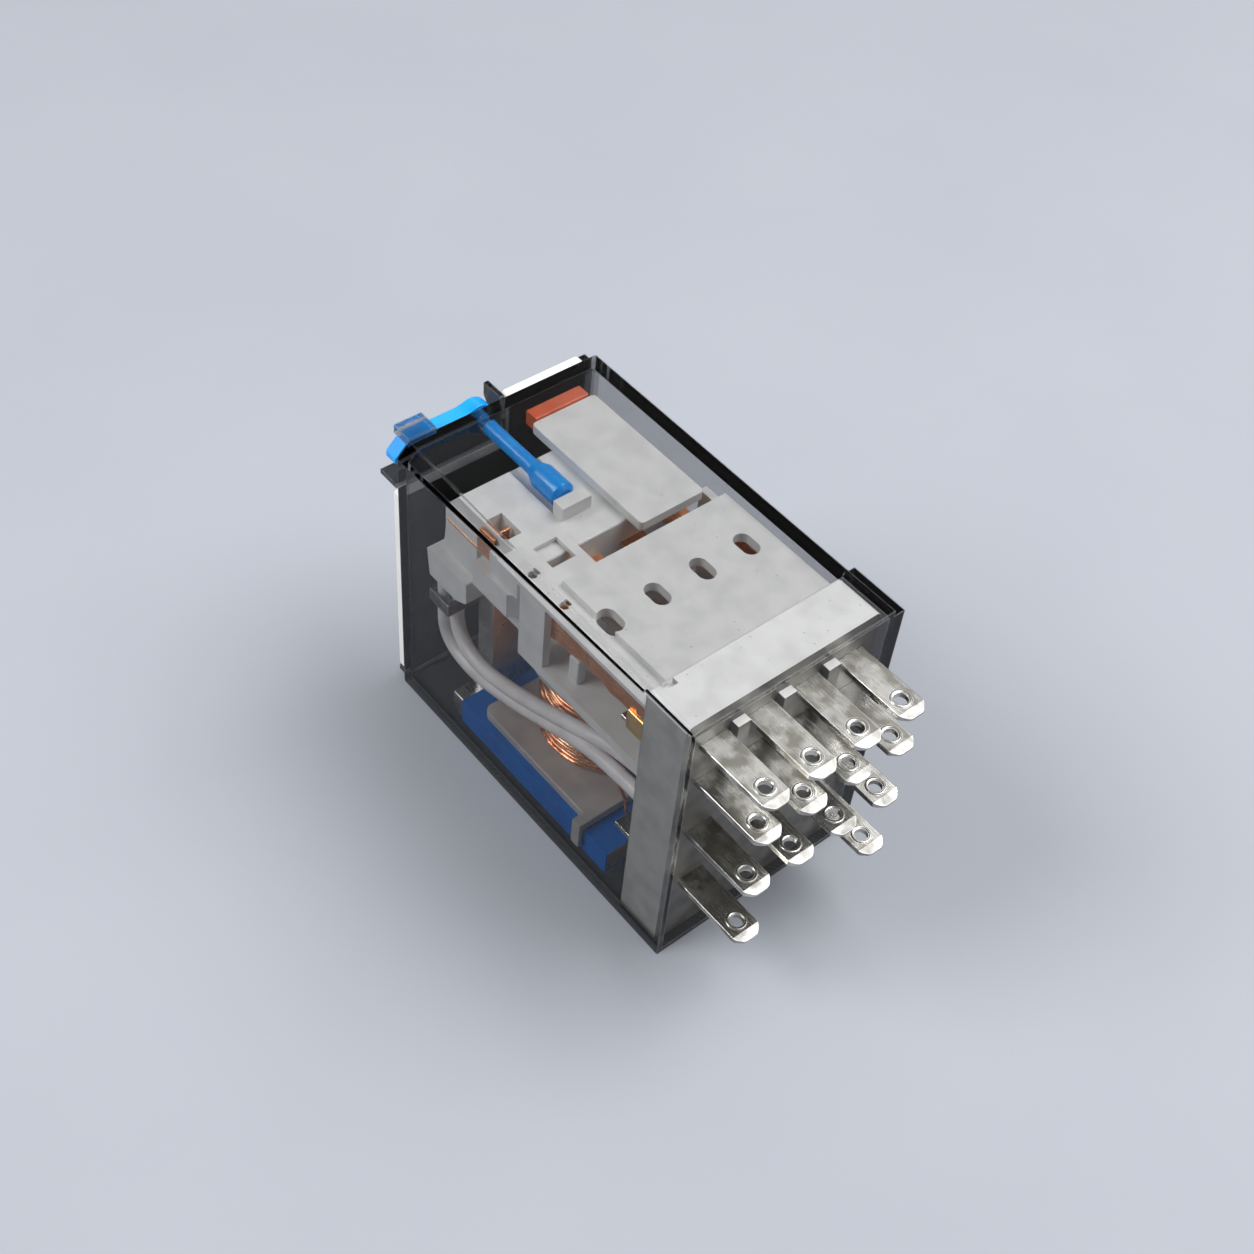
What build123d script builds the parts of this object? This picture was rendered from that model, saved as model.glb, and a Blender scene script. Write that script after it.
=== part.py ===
"""Plug-in relay with four changeover contacts, a test lever and a flag.

The relay lies on its coil side, contacts up and blades towards +X. Lengths
are in millimetres. Sections are drawn on three planes that meet in the
middle of the terminal rim: X is zero at the rim and negative inside the
case, Y is zero midway between the blades, Z is zero on the surface below.
"""
from build123d import *
import os

# Cover
WALL = 0.8
CORNER_R = 0.35
FAR_BEVEL = 1.2
INNER_BEVEL = 0.8
NEAR_BEVEL = 0.3
MOUTH_WALL = 0.5
MOUTH_DEPTH = 5.0
LATCH_RISE = 1.1
LATCH_LENGTH = 5.3
LATCH_END = 1.2
GUARD_OUT = 2.2
GUARD_T = 0.45
GUARD_NOSE = 1.2
SHELF_DROP = 4.5
TAB_W = 2.6
TAB_IN = 2.6

# Room that the cover leaves round the works
SIDE_ROOM = 3.2
END_ROOM = 3.0
TOP_ROOM = 1.9

# Clearances
FIT = 0.05
SLOT_FIT = 0.02
SLACK = 0.05
LOOSE = 0.12
BESIDE = 0.3

# Blades
BLADE_OUT = 6.3
BLADE_W = 2.5
BLADE_T = 0.5
BLADE_TIP = 0.6
COIN_LENGTH = 0.75
COIN_DEPTH = 0.15
EYE_X = 4.53
EYE_R = 0.55
PITCH = 4.4
CONTACT_ROW_STEP = 4.1
ROW_STEP = 6.35
COM_TAIL = 2.75
COIL_TAIL = 3.0

# Base
RECESS = 0.8
BASE_R = 0.5
RIB_W = 1.2
RIB_HEIGHT = 6.9
RIB_RISE = 0.85
RIB_SHORT = 0.1
NOTCH_W = 1.2
NOTCH_FROM_EDGE = 0.9
SNAP_NEAR = -1.7
SNAP_W = 6.0
SNAP_L = 2.3
SNAP_RISE = 0.6

# Contacts
CONTACT_BACK = 7.4
CONTACT_R = 0.85
FIXED_HEAD = 0.5
CONTACT_GAP = 0.9
SHANK_R = 0.4
SPRING_W = 2.4
SPRING_WAIST = 1.7
SPRING_T = 0.25
SPRING_LAND = 1.2
SPRING_CORNER_R = 0.5
SPRING_ROOT = 0.8
TAIL_TAB_L = 1.8
TAIL_TAB_W = 1.0
RIVET_SIDES = 12
SHANK_SIDES = 8

# Magnet, from the floor of the cover up and from the base backwards
COIL_BACK = 18.0
FILM_Z = 1.1
FILM_T = 0.15
FILM_SHORT = 1.4
YOKE_T = 2.3
YOKE_SIDE = 0.7
YOKE_SHORT = 2.9
YOKE_BEND_R = 1.2
LIMB_T = 2.0
LIMB_W = 11.6
LIMB_CLEAR = 1.7
TONGUE_W = 8.0
TONGUE_IN = 0.6
CORE_R = 2.5
POLE_R = 4.0
POLE_T = 0.75
POLE_EDGE = 0.2
TUBE_T = 0.7
WINDING_R = 6.1
WINDING_H = 9.3
FLANGE_R = 7.2
FLANGE_SIDE = 1.1
FLANGE_CORNER = 0.8
LOW_FLANGE_T = 0.9
TOP_FLANGE_T = 0.8
FOOT_L = 1.0
FOOT_DROP = 2.0
AIR_GAP = 0.7
ARMATURE_T = 1.4
ARMATURE_W = 11.2
ARMATURE_LIP = 0.6
ARMATURE_CORNER_R = 1.5
HOOK_OUT = 2.1
HOOK_W = 2.0
HOOK_UP = 0.9
HOOK_T = 0.8
HOOK_HOLE_R = 0.3
HOLE_SIDES = 8
RETURN_TURNS = 3
RETURN_R = 0.8
RETURN_WIRE_R = 0.17
RETURN_WIRE_SIDES = 4
RETURN_END = 1.6

# Moving contact carrier, indicator arm and flag
CARRIER_OUT = 2.3
CARRIER_L = 10.8
CARRIER_SIDE = 1.6
CARRIER_H = 7.45
CARRIER_SLOPE = 1.4
STEP = 0.35
UPPER_L = 4.2
UPPER_H = 2.3
MOULD_R = 0.2
SKIRT_L = 4.6
SKIRT_H = 2.9
SKIRT_SIDE = 0.25
SKIRT_CLEAR = 0.4
LEDGE_SIDE = 0.6
LEDGE_SHORT = 0.8
WINDOW_BACK = 6.0
WINDOW_L = 2.6
WINDOW_W = 1.4
LUG_T = 1.2
ARM_Y = 4.7
ARM_W = 6.4
ARM_T = 0.9
FLAG_GAP = 0.3
FLAG_L = 1.4
FLAG_W = 5.4
FLAG_TONGUE_L = 0.7
FLAG_TONGUE_W = 3.2

# Fixed contact frame
CONTACT_DROP = 0.77
CHEEK_T = 0.7
CHEEK_GAP = 0.8
CHEEK_L = 3.0
FOOT_SIDE = 1.9
PARTITION_T = 0.8
FRAME_FLOOR_T = 1.0
FRAME_PLATE_T = 0.9
PLATE_BACK = 2.1
PLATE_STEP = 0.5
PLATE_STEP_W = 1.9
PLATE_EAR_L = 5.0
PLATE_EAR_W = 5.4
EAR_WINDOW_L = 2.4
EAR_WINDOW_W = 2.2
EAR_WINDOW_BACK = 0.8
PIN_BACK = 2.9
PIN_STEP = 3.8
CHAMBER_BACK = 2.7
SIGHT_L = 2.4
SIGHT_W = 1.5
PIN_HOLE_R = 0.4

# Test lever
ROD_Y = -1.3
ROD_UP = 0.65
ROD_R = 0.65
PAD_R = 1.1
PAD_BACK = 6.7
PAD_LENGTH = 4.0
PAD_EDGE = 0.4
HUB_R = 1.4
LEVER_T = 1.45
LEVER_SHORT = 0.4
LEVER_FOOT_DROP = 0.55
LEVER_NECK = 0.3
LEVER_BEVEL = 1.15
LEVER_EDGE_R = 0.2
PRESS = 0.6

# Marker plate
MARKER_T = 0.9
MARKER_SPLIT_Y = 1.0
MARKER_SPLIT_DROP = 1.0
MARKER_EDGE = 0.3
MARKER_FOOT = 1.0
RAIL_W = 0.7
RAIL_FOOT = 0.4

# Leads and their clamp
LEAD_R = 0.6
LEAD_SIDES = 6
LEAD_SIDE = 1.1
LEAD_BEHIND = 1.65
LEAD_STEP = 1.1
LEAD_STEP_BACK = 0.6
LEAD_BEND = 2.5
LEAD_LOW_L = 5.05
LEAD_LOW_UP = 3.4
LEAD_END_L = 2.85
LEAD_SOCKET = 1.6
CLAMP_T = 0.3
CLAMP_H = 1.3
CLAMP_DROP = 2.9
CLAMP_LIP = 2.8
WIRE_R = 0.15
WIRE_UP = 0.6
WIRE_RUN = 1.5
WIRE_BEND = 0.5

# Heights, from the floor up
YOKE_Z = FILM_Z + FILM_T
YOKE_TOP = YOKE_Z + YOKE_T
FILM_TOP = YOKE_TOP + FILM_T
WINDING_Z = FILM_TOP + LOW_FLANGE_T
WINDING_TOP = WINDING_Z + WINDING_H
FLANGE_TOP = WINDING_TOP + TOP_FLANGE_T
POLE_Z = FLANGE_TOP + POLE_T
ARMATURE_Z = POLE_Z + AIR_GAP
ARMATURE_TOP = ARMATURE_Z + ARMATURE_T
LIMB_TOP = ARMATURE_Z - SLACK
SKIRT_Z = LIMB_TOP - SLACK
SKIRT_TOP = SKIRT_Z + SKIRT_H
CARRIER_TOP = ARMATURE_TOP + CARRIER_H
CASE_HEIGHT = CARRIER_TOP + TOP_ROOM + WALL

NC_Z = CARRIER_TOP - CONTACT_DROP
NO_Z = NC_Z - CONTACT_ROW_STEP
COM_Z = NO_Z - ROW_STEP
COIL_Z = COM_Z - ROW_STEP
NC_FACE = NC_Z - BLADE_T / 2
NO_FACE = NO_Z + BLADE_T / 2
MOVING_ROOM = NC_FACE - NO_FACE - 2 * FIXED_HEAD
MOVING_HEAD = (MOVING_ROOM - CONTACT_GAP - 2 * SLACK - SPRING_T) / 2
SPRING_TOP = NC_FACE - FIXED_HEAD - SLACK - MOVING_HEAD
SPRING_BOTTOM = SPRING_TOP - SPRING_T
FRAME_FLOOR = NO_FACE - BLADE_T - RIB_W
FRAME_CEILING = NC_Z + RIB_RISE
FRAME_TOP = FRAME_CEILING + FRAME_PLATE_T
RIB_TOP = NC_Z + RIB_RISE
HOOK_Z = YOKE_TOP + HOOK_UP
RETURN_Z = HOOK_Z + RETURN_END
RETURN_TOP = ARMATURE_Z - RETURN_END

# Lengths, from the rim backwards
TERMINAL_FACE = -RECESS
BASE_IN = -MOUTH_DEPTH
COM_IN = BASE_IN - COM_TAIL
COIL_IN = BASE_IN - COIL_TAIL
YOKE_NEAR = BASE_IN - YOKE_SHORT
CONTACT_X = -CONTACT_BACK
BLADE_IN = CONTACT_X - CONTACT_R - WALL / 2
COIL_X = -COIL_BACK
ARMATURE_NEAR = COIL_X + POLE_R + ARMATURE_LIP
HINGE_X = COIL_X - FLANGE_R - LIMB_CLEAR
YOKE_FAR = HINGE_X - LIMB_T
FILM_FAR = YOKE_FAR + FILM_SHORT
HOOK_FAR = YOKE_FAR - HOOK_OUT
RETURN_X = (YOKE_FAR + HOOK_FAR) / 2
LEAD_BACK = YOKE_FAR - LEAD_BEHIND
CARRIER_FAR = YOKE_FAR - CARRIER_OUT
CARRIER_NEAR = CARRIER_FAR + CARRIER_L
SKIRT_NEAR = CARRIER_FAR + SKIRT_L
LEDGE_NEAR = CARRIER_NEAR - LEDGE_SHORT
WINDOW_X = CARRIER_FAR + WINDOW_BACK
SPRING_FAR = CARRIER_FAR + SPRING_ROOT
SPRING_NEAR = CONTACT_X + SPRING_LAND
WAIST_NEAR = CONTACT_X - 2 * SPRING_LAND
WAIST_FAR = CARRIER_NEAR + SPRING_LAND
CHEEK_FAR = CARRIER_NEAR + CHEEK_GAP
PLATE_FAR = CHEEK_FAR + PLATE_BACK
CHAMBER_FAR = PLATE_FAR + CHAMBER_BACK
PLATE_EAR_FAR = PLATE_FAR - PLATE_EAR_L
CHEEK_NEAR = CHEEK_FAR + CHEEK_L
TAIL_TAB_X = SKIRT_NEAR + FIT
SIGHT_X = CHAMBER_FAR + SIGHT_L
END_IN = CARRIER_FAR - END_ROOM
END_OUT = END_IN - WALL
CASE_LENGTH = -END_OUT
GUARD_TIP = END_OUT - GUARD_OUT
SNAP_POCKET = (SNAP_NEAR - SNAP_L - LOOSE, SNAP_NEAR + LOOSE)
MARKER_OUT = END_OUT - MARKER_T
LEVER_IN = END_OUT - PRESS - SLACK
LEVER_OUT = LEVER_IN - LEVER_T
FLAG_FAR = END_IN + FLAG_GAP
ARM_FAR = FLAG_FAR + FLAG_L
ARM_NEAR = PLATE_FAR - RIB_W

# Widths, from the middle outwards
COLUMNS = [(i - 1.5) * PITCH for i in range(4)]
GAPS = [(i - 1) * PITCH for i in range(3)]
OUTER_HALF = COLUMNS[-1] + SIDE_ROOM
CASE_WIDTH = 2 * OUTER_HALF
INNER_HALF = OUTER_HALF - WALL
BASE_HALF = OUTER_HALF - MOUTH_WALL - FIT
BASE_BOTTOM = MOUTH_WALL + FIT
BASE_TOP = CASE_HEIGHT - MOUTH_WALL - FIT
YOKE_HALF = INNER_HALF - YOKE_SIDE
FLANGE_HALF = INNER_HALF - FLANGE_SIDE
CHEEK_OUT = INNER_HALF - FIT
CHEEK_IN = CHEEK_OUT - CHEEK_T
FOOT_OUT = CHEEK_OUT - FOOT_SIDE
FOOT_IN = FOOT_OUT - CHEEK_T
CARRIER_HALF = INNER_HALF - CARRIER_SIDE
SKIRT_OUT = INNER_HALF - SKIRT_SIDE
SKIRT_IN = ARMATURE_W / 2 + SKIRT_CLEAR
LEDGE_OUT = INNER_HALF - LEDGE_SIDE
LEAD_Y = INNER_HALF - LEAD_SIDE
CLAMP_OUT = LEAD_Y + LEAD_R + FIT + CLAMP_T
CLAMP_FAR = LEAD_BACK - LEAD_R - FIT - CLAMP_T
PLATE_STEP_Y = -CHEEK_OUT + PLATE_STEP_W
PLATE_EAR_Y = -CHEEK_OUT + PLATE_EAR_W
TAIL_TAB_OUT = COLUMNS[-1] + SPRING_W / 2

# Lever, guards and marker plate, from the rod and the top corner
ROD_Z = CARRIER_TOP + ROD_UP
PAD_NEAR = CARRIER_FAR + PAD_BACK
LEVER_TOP = ROD_Z + HUB_R
ARM_CREST = LEVER_TOP - LEVER_NECK
LEVER_FOOT = ROD_Z - LEVER_FOOT_DROP
LEVER_END = -OUTER_HALF + LEVER_SHORT
GUARD_Y = ROD_Y + HUB_R + LOOSE
SHELF_Z = CASE_HEIGHT - SHELF_DROP
TAB_Y = -OUTER_HALF + TAB_IN
SWAY = (ROD_Z - LIMB_TOP) * CONTACT_GAP / (CONTACT_X - HINGE_X)
PUSH_X = PAD_NEAR + PRESS - SWAY + LOOSE
MARKER_LEFT = -OUTER_HALF + MARKER_EDGE
MARKER_RIGHT = OUTER_HALF - RAIL_W - MARKER_EDGE
MARKER_TOP = BASE_TOP - MARKER_EDGE
MARKER_SPLIT_Z = SHELF_Z - MARKER_SPLIT_DROP

# Routes of the leads, seen from the side
LEAD_TOP_Z = SKIRT_Z + LEAD_SOCKET
LEAD_LOW_X = LEAD_BACK + LEAD_LOW_L
LEAD_LOW_Z = WINDING_Z + LEAD_LOW_UP
LEAD_HIGH_X = COM_IN - LEAD_END_L
LEAD_TOPS = [(LEAD_BACK, LEAD_Y), (LEAD_BACK + LEAD_STEP_BACK, LEAD_Y - LEAD_STEP)]
OUTER_ROUTE = [
    (LEAD_BACK, LEAD_TOP_Z),
    (LEAD_BACK, LEAD_LOW_Z),
    (LEAD_LOW_X, LEAD_LOW_Z),
    (LEAD_HIGH_X, COM_Z),
    (COM_IN, COM_Z),
]
INNER_ROUTE = [
    (LEAD_BACK + LEAD_STEP_BACK, LEAD_TOP_Z),
    (LEAD_BACK + LEAD_STEP_BACK, LEAD_LOW_Z + LEAD_STEP),
    (LEAD_LOW_X + LEAD_STEP_BACK, LEAD_LOW_Z + LEAD_STEP),
    (LEAD_HIGH_X + LEAD_STEP_BACK, COM_Z + LEAD_STEP),
    (BASE_IN, COM_Z + LEAD_STEP),
]

# Planes of the sections
TERMINAL_X = (CASE_LENGTH + GUARD_OUT - BLADE_OUT) / 2
CENTRE_Y = -LATCH_RISE / 2
PLAN = Plane(origin=(TERMINAL_X, CENTRE_Y, 0))
SIDE = Plane(origin=(TERMINAL_X, CENTRE_Y, 0), x_dir=(1, 0, 0), z_dir=(0, -1, 0))
END = Plane(origin=(TERMINAL_X, CENTRE_Y, 0), x_dir=(0, 1, 0), z_dir=(1, 0, 0))

os.makedirs("parts", exist_ok=True)


def save(piece, name):
    """Label a finished piece and write it as a STEP file of the same name."""
    piece.part.label = name
    export_step(piece.part, f"parts/{name}.step")


def block(x, y, z, mode=Mode.ADD):
    """Rectangular block between two values on each axis, in the open part."""
    with BuildSketch(PLAN.offset(z[0])) as outline:
        with Locations(((x[0] + x[1]) / 2, (y[0] + y[1]) / 2)):
            Rectangle(x[1] - x[0], y[1] - y[0])
    extrude(outline.sketch, amount=z[1] - z[0], mode=mode)


def side_profile(points, y, radius=0.0, mode=Mode.ADD):
    """Outline seen from the side, extruded between two values of Y."""
    with BuildSketch(SIDE.offset(-y[1])) as outline:
        with BuildLine():
            Polyline(*points, close=True)
        make_face()
        if radius:
            fillet(outline.vertices(), radius)
    extrude(outline.sketch, amount=y[1] - y[0], mode=mode)


def case_section(section, inset, bevel):
    """Section across the case, with its upper left corner bevelled."""
    with Locations((0, CASE_HEIGHT / 2)):
        Rectangle(CASE_WIDTH - 2 * inset, CASE_HEIGHT - 2 * inset)
    chamfer(section.vertices().group_by(Axis.Y)[-1].sort_by(Axis.X)[0], bevel)


# Clear cover, open at the terminal end
with BuildPart() as cover:
    with BuildSketch(END.offset(END_OUT)) as far_section:
        case_section(far_section, 0, FAR_BEVEL)
    with BuildSketch(END.offset(BASE_IN)) as near_section:
        case_section(near_section, 0, NEAR_BEVEL)
    loft()
    with BuildSketch(END.offset(BASE_IN)):
        with Locations((0, CASE_HEIGHT / 2)):
            Rectangle(CASE_WIDTH, CASE_HEIGHT)
    extrude(amount=MOUTH_DEPTH)
    fillet(cover.faces().sort_by(Axis.X)[0].edges(), CORNER_R)

    # Latch housing on the right, with its pocket for the snap
    block((-LATCH_LENGTH, 0), (OUTER_HALF, OUTER_HALF + LATCH_RISE), (LATCH_END, CASE_HEIGHT - LATCH_END / 2))

    # Room inside, wider at the mouth where the base sits
    with BuildSketch(END.offset(END_IN)) as far_room:
        case_section(far_room, WALL, INNER_BEVEL)
    with BuildSketch(END.offset(BASE_IN)) as near_room:
        case_section(near_room, WALL, NEAR_BEVEL)
    loft(mode=Mode.SUBTRACT)
    with BuildSketch(END.offset(BASE_IN)):
        with Locations((0, CASE_HEIGHT / 2)):
            Rectangle(CASE_WIDTH - 2 * MOUTH_WALL, CASE_HEIGHT - 2 * MOUTH_WALL)
    extrude(amount=MOUTH_DEPTH, mode=Mode.SUBTRACT)

    with BuildSketch(END.offset(END_OUT)):
        with Locations((ROD_Y, ROD_Z)):
            Circle(ROD_R + FIT)
    extrude(amount=WALL, mode=Mode.SUBTRACT)
    block(
        SNAP_POCKET,
        (OUTER_HALF - MOUTH_WALL, BASE_HALF + SNAP_RISE + LOOSE),
        ((CASE_HEIGHT - SNAP_W) / 2 - LOOSE, (CASE_HEIGHT + SNAP_W) / 2 + LOOSE),
        Mode.SUBTRACT,
    )

    # Guard beside the lever, shelf below it, and the tab that keeps it down
    side_profile(
        [
            (END_OUT, CASE_HEIGHT),
            (GUARD_TIP, CASE_HEIGHT),
            (GUARD_TIP, CASE_HEIGHT - GUARD_NOSE),
            (END_OUT, SHELF_Z),
        ],
        (GUARD_Y, GUARD_Y + GUARD_T),
    )
    block((GUARD_TIP, END_OUT), (-OUTER_HALF, GUARD_Y), (SHELF_Z, SHELF_Z + GUARD_T))
    tab = (TAB_Y - TAB_W / 2, TAB_Y + TAB_W / 2)
    block((LEVER_OUT, END_OUT), tab, (ARM_CREST + LOOSE, CASE_HEIGHT))

    # Rails round the marker plate
    block((MARKER_OUT, END_OUT), (MARKER_RIGHT + FIT, MARKER_RIGHT + FIT + RAIL_W), (RAIL_FOOT, BASE_TOP))
    block((MARKER_OUT, END_OUT), (MARKER_LEFT, MARKER_RIGHT + FIT), (RAIL_FOOT, MARKER_FOOT - FIT))
save(cover, "cover")

# White marker plate, cut away where the lever turns
with BuildPart() as marker_plate:
    with BuildSketch(END.offset(MARKER_OUT)) as marker_outline:
        with BuildLine():
            Polyline(
                (MARKER_LEFT, MARKER_FOOT),
                (MARKER_RIGHT, MARKER_FOOT),
                (MARKER_RIGHT, MARKER_TOP),
                (MARKER_SPLIT_Y, MARKER_TOP),
                (MARKER_SPLIT_Y, MARKER_SPLIT_Z),
                (MARKER_LEFT, MARKER_SPLIT_Z),
                close=True,
            )
        make_face()
        fillet(marker_outline.vertices(), CORNER_R)
    extrude(amount=MARKER_T)
save(marker_plate, "marker_plate")

# Test lever: rod and pad inside, hub and bevelled arm outside
with BuildPart() as test_lever:
    with BuildSketch(END.offset(LEVER_OUT)):
        with Locations((ROD_Y, ROD_Z)):
            Circle(HUB_R)
    extrude(amount=LEVER_T)
    with BuildSketch(END.offset(LEVER_OUT)) as arm_outline:
        with BuildLine():
            Polyline(
                (ROD_Y, LEVER_TOP),
                (ROD_Y - HUB_R, ARM_CREST),
                (LEVER_END + LEVER_BEVEL, ARM_CREST),
                (LEVER_END, ARM_CREST - LEVER_BEVEL),
                (LEVER_END, LEVER_FOOT),
                (ROD_Y, LEVER_FOOT),
                close=True,
            )
        make_face()
    extrude(amount=LEVER_T)
    chamfer(test_lever.faces().sort_by(Axis.X)[0].edges(), LEVER_EDGE_R)
    with BuildSketch(END.offset(LEVER_IN)):
        with Locations((ROD_Y, ROD_Z)):
            Circle(ROD_R)
    extrude(amount=PAD_NEAR - LEVER_IN)
    with BuildSketch(SIDE.offset(-ROD_Y)) as pad_half:
        with BuildLine():
            Polyline(
                (PAD_NEAR - PAD_LENGTH, ROD_Z),
                (PAD_NEAR - PAD_LENGTH, ROD_Z + ROD_R),
                (PAD_NEAR - PAD_LENGTH + PAD_R, ROD_Z + PAD_R),
                (PAD_NEAR - PAD_EDGE, ROD_Z + PAD_R),
                (PAD_NEAR, ROD_Z + PAD_R - PAD_EDGE),
                (PAD_NEAR, ROD_Z),
                close=True,
            )
        make_face()
    revolve(axis=Axis((TERMINAL_X, CENTRE_Y + ROD_Y, ROD_Z), (1, 0, 0)))
save(test_lever, "test_lever")

# Base: a plate in the mouth, slotted for the blades, with ribs between them
with BuildPart() as base:
    with BuildSketch(END.offset(BASE_IN)) as base_outline:
        with Locations((0, (BASE_BOTTOM + BASE_TOP) / 2)):
            Rectangle(2 * BASE_HALF, BASE_TOP - BASE_BOTTOM)
        fillet(base_outline.vertices(), BASE_R)
    extrude(amount=TERMINAL_FACE - BASE_IN)
    for y in GAPS:
        block((TERMINAL_FACE, -RIB_SHORT), (y - RIB_W / 2, y + RIB_W / 2), (RIB_TOP - RIB_HEIGHT, RIB_TOP))
    with BuildSketch(END.offset(BASE_IN)):
        for z in (NC_Z, NO_Z, COM_Z):
            with Locations(*[(y, z) for y in COLUMNS]):
                Rectangle(BLADE_W + 2 * SLOT_FIT, BLADE_T + 2 * SLOT_FIT)
        with Locations((COLUMNS[0], COIL_Z), (COLUMNS[-1], COIL_Z)):
            Rectangle(BLADE_W + 2 * SLOT_FIT, BLADE_T + 2 * SLOT_FIT)
    extrude(amount=MOUTH_DEPTH, mode=Mode.SUBTRACT)
    block(
        (BASE_IN, BASE_IN + TONGUE_IN + FIT),
        (-TONGUE_W / 2 - FIT, TONGUE_W / 2 + FIT),
        (YOKE_Z - FIT, YOKE_TOP + FIT),
        Mode.SUBTRACT,
    )
    notch = (-BASE_HALF + NOTCH_FROM_EDGE, -BASE_HALF + NOTCH_FROM_EDGE + NOTCH_W)
    block((BASE_IN, BASE_IN + NOTCH_W / 2), notch, (BASE_TOP - NOTCH_W / 2, BASE_TOP), Mode.SUBTRACT)

    # Snap on the right, wedge shaped so that the cover slides over it
    with BuildSketch(PLAN.offset((CASE_HEIGHT - SNAP_W) / 2)):
        with BuildLine():
            Polyline(
                (SNAP_NEAR - SNAP_L, BASE_HALF),
                (SNAP_NEAR, BASE_HALF),
                (SNAP_NEAR, BASE_HALF + SNAP_RISE),
                (SNAP_NEAR - SNAP_RISE, BASE_HALF + SNAP_RISE),
                close=True,
            )
        make_face()
    extrude(amount=SNAP_W)
save(base, "base")


def blade(z, y, inner, hole=None):
    """Flat terminal blade from its inner end to its coined tip, with its eyelet."""
    with BuildSketch(PLAN.offset(z - BLADE_T / 2)) as outline:
        with Locations(((BLADE_OUT + inner) / 2, y)):
            Rectangle(BLADE_OUT - inner, BLADE_W)
        chamfer(outline.vertices().group_by(Axis.X)[-1], BLADE_TIP)
        with Locations((EYE_X, y)):
            Circle(EYE_R, mode=Mode.SUBTRACT)
        if hole:
            with Locations((hole, y)):
                RegularPolygon(SHANK_R + SLOT_FIT, SHANK_SIDES, mode=Mode.SUBTRACT)
    with BuildPart() as terminal:
        extrude(outline.sketch, amount=BLADE_T)
        tip = terminal.faces().filter_by(Axis.X).sort_by(Axis.X)[-1]
        chamfer(tip.edges().filter_by(Axis.Y), COIN_DEPTH, COIN_LENGTH, reference=tip)
    return terminal


for number, y in enumerate(COLUMNS, start=1):
    save(blade(NC_Z, y, BLADE_IN, CONTACT_X), f"nc_terminal_{number}")
    save(blade(NO_Z, y, BLADE_IN, CONTACT_X), f"no_terminal_{number}")
    save(blade(COM_Z, y, COM_IN), f"com_terminal_{number}")
for number, y in enumerate((COLUMNS[0], COLUMNS[-1]), start=1):
    save(blade(COIL_Z, y, COIL_IN), f"coil_terminal_{number}")


def rivets(shank, heads):
    """Four contact rivets, one in each column, as discs between values of Z."""
    with BuildPart() as group:
        discs = [(*head, CONTACT_R, RIVET_SIDES) for head in heads]
        for low, high, radius, sides in [(*shank, SHANK_R, SHANK_SIDES)] + discs:
            with BuildSketch(PLAN.offset(low)) as outlines:
                with Locations(*[(CONTACT_X, y) for y in COLUMNS]):
                    RegularPolygon(radius, sides)
            extrude(outlines.sketch, amount=high - low)
    return group


nc_contacts = rivets((NC_FACE, NC_FACE + BLADE_T), [(NC_FACE - FIXED_HEAD, NC_FACE)])
save(nc_contacts, "nc_contacts")
no_contacts = rivets((NO_FACE - BLADE_T, NO_FACE), [(NO_FACE, NO_FACE + FIXED_HEAD)])
save(no_contacts, "no_contacts")
moving_heads = [(SPRING_TOP, SPRING_TOP + MOVING_HEAD), (SPRING_BOTTOM - MOVING_HEAD, SPRING_BOTTOM)]
moving_contacts = rivets((SPRING_BOTTOM, SPRING_TOP), moving_heads)
save(moving_contacts, "moving_contacts")

# Contact springs: a wide tail in the carrier, a waist, and a land for the rivet
for number, y in enumerate(COLUMNS, start=1):
    with BuildPart() as contact_spring:
        with BuildSketch(PLAN.offset(SPRING_BOTTOM)) as strip:
            with Locations(((SPRING_FAR + WAIST_FAR) / 2, y)):
                Rectangle(WAIST_FAR - SPRING_FAR, SPRING_W)
            with Locations(((WAIST_FAR + WAIST_NEAR) / 2, y)):
                Rectangle(WAIST_NEAR - WAIST_FAR, SPRING_WAIST)
            with Locations(((WAIST_NEAR + SPRING_NEAR) / 2, y)):
                Rectangle(SPRING_NEAR - WAIST_NEAR, SPRING_W)
            fillet(strip.vertices().group_by(Axis.X)[-1], SPRING_CORNER_R)
            with Locations((CONTACT_X, y)):
                RegularPolygon(SHANK_R + SLOT_FIT, SHANK_SIDES, mode=Mode.SUBTRACT)
        extrude(amount=SPRING_T)

        # Tails of the outer two: an edge turned up at the side, and a tab in the window
        if abs(y) == COLUMNS[-1]:
            edge = sorted((y / abs(y) * TAIL_TAB_OUT, y / abs(y) * (TAIL_TAB_OUT - SPRING_T)))
            block((TAIL_TAB_X, TAIL_TAB_X + TAIL_TAB_L), edge, (SPRING_TOP, CARRIER_TOP - STEP))
            tab_x = (WINDOW_X - SPRING_T / 2, WINDOW_X + SPRING_T / 2)
            block(tab_x, (y - TAIL_TAB_W / 2, y + TAIL_TAB_W / 2), (SPRING_TOP, CARRIER_TOP - STEP))
    save(contact_spring, f"contact_spring_{number}")

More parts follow.
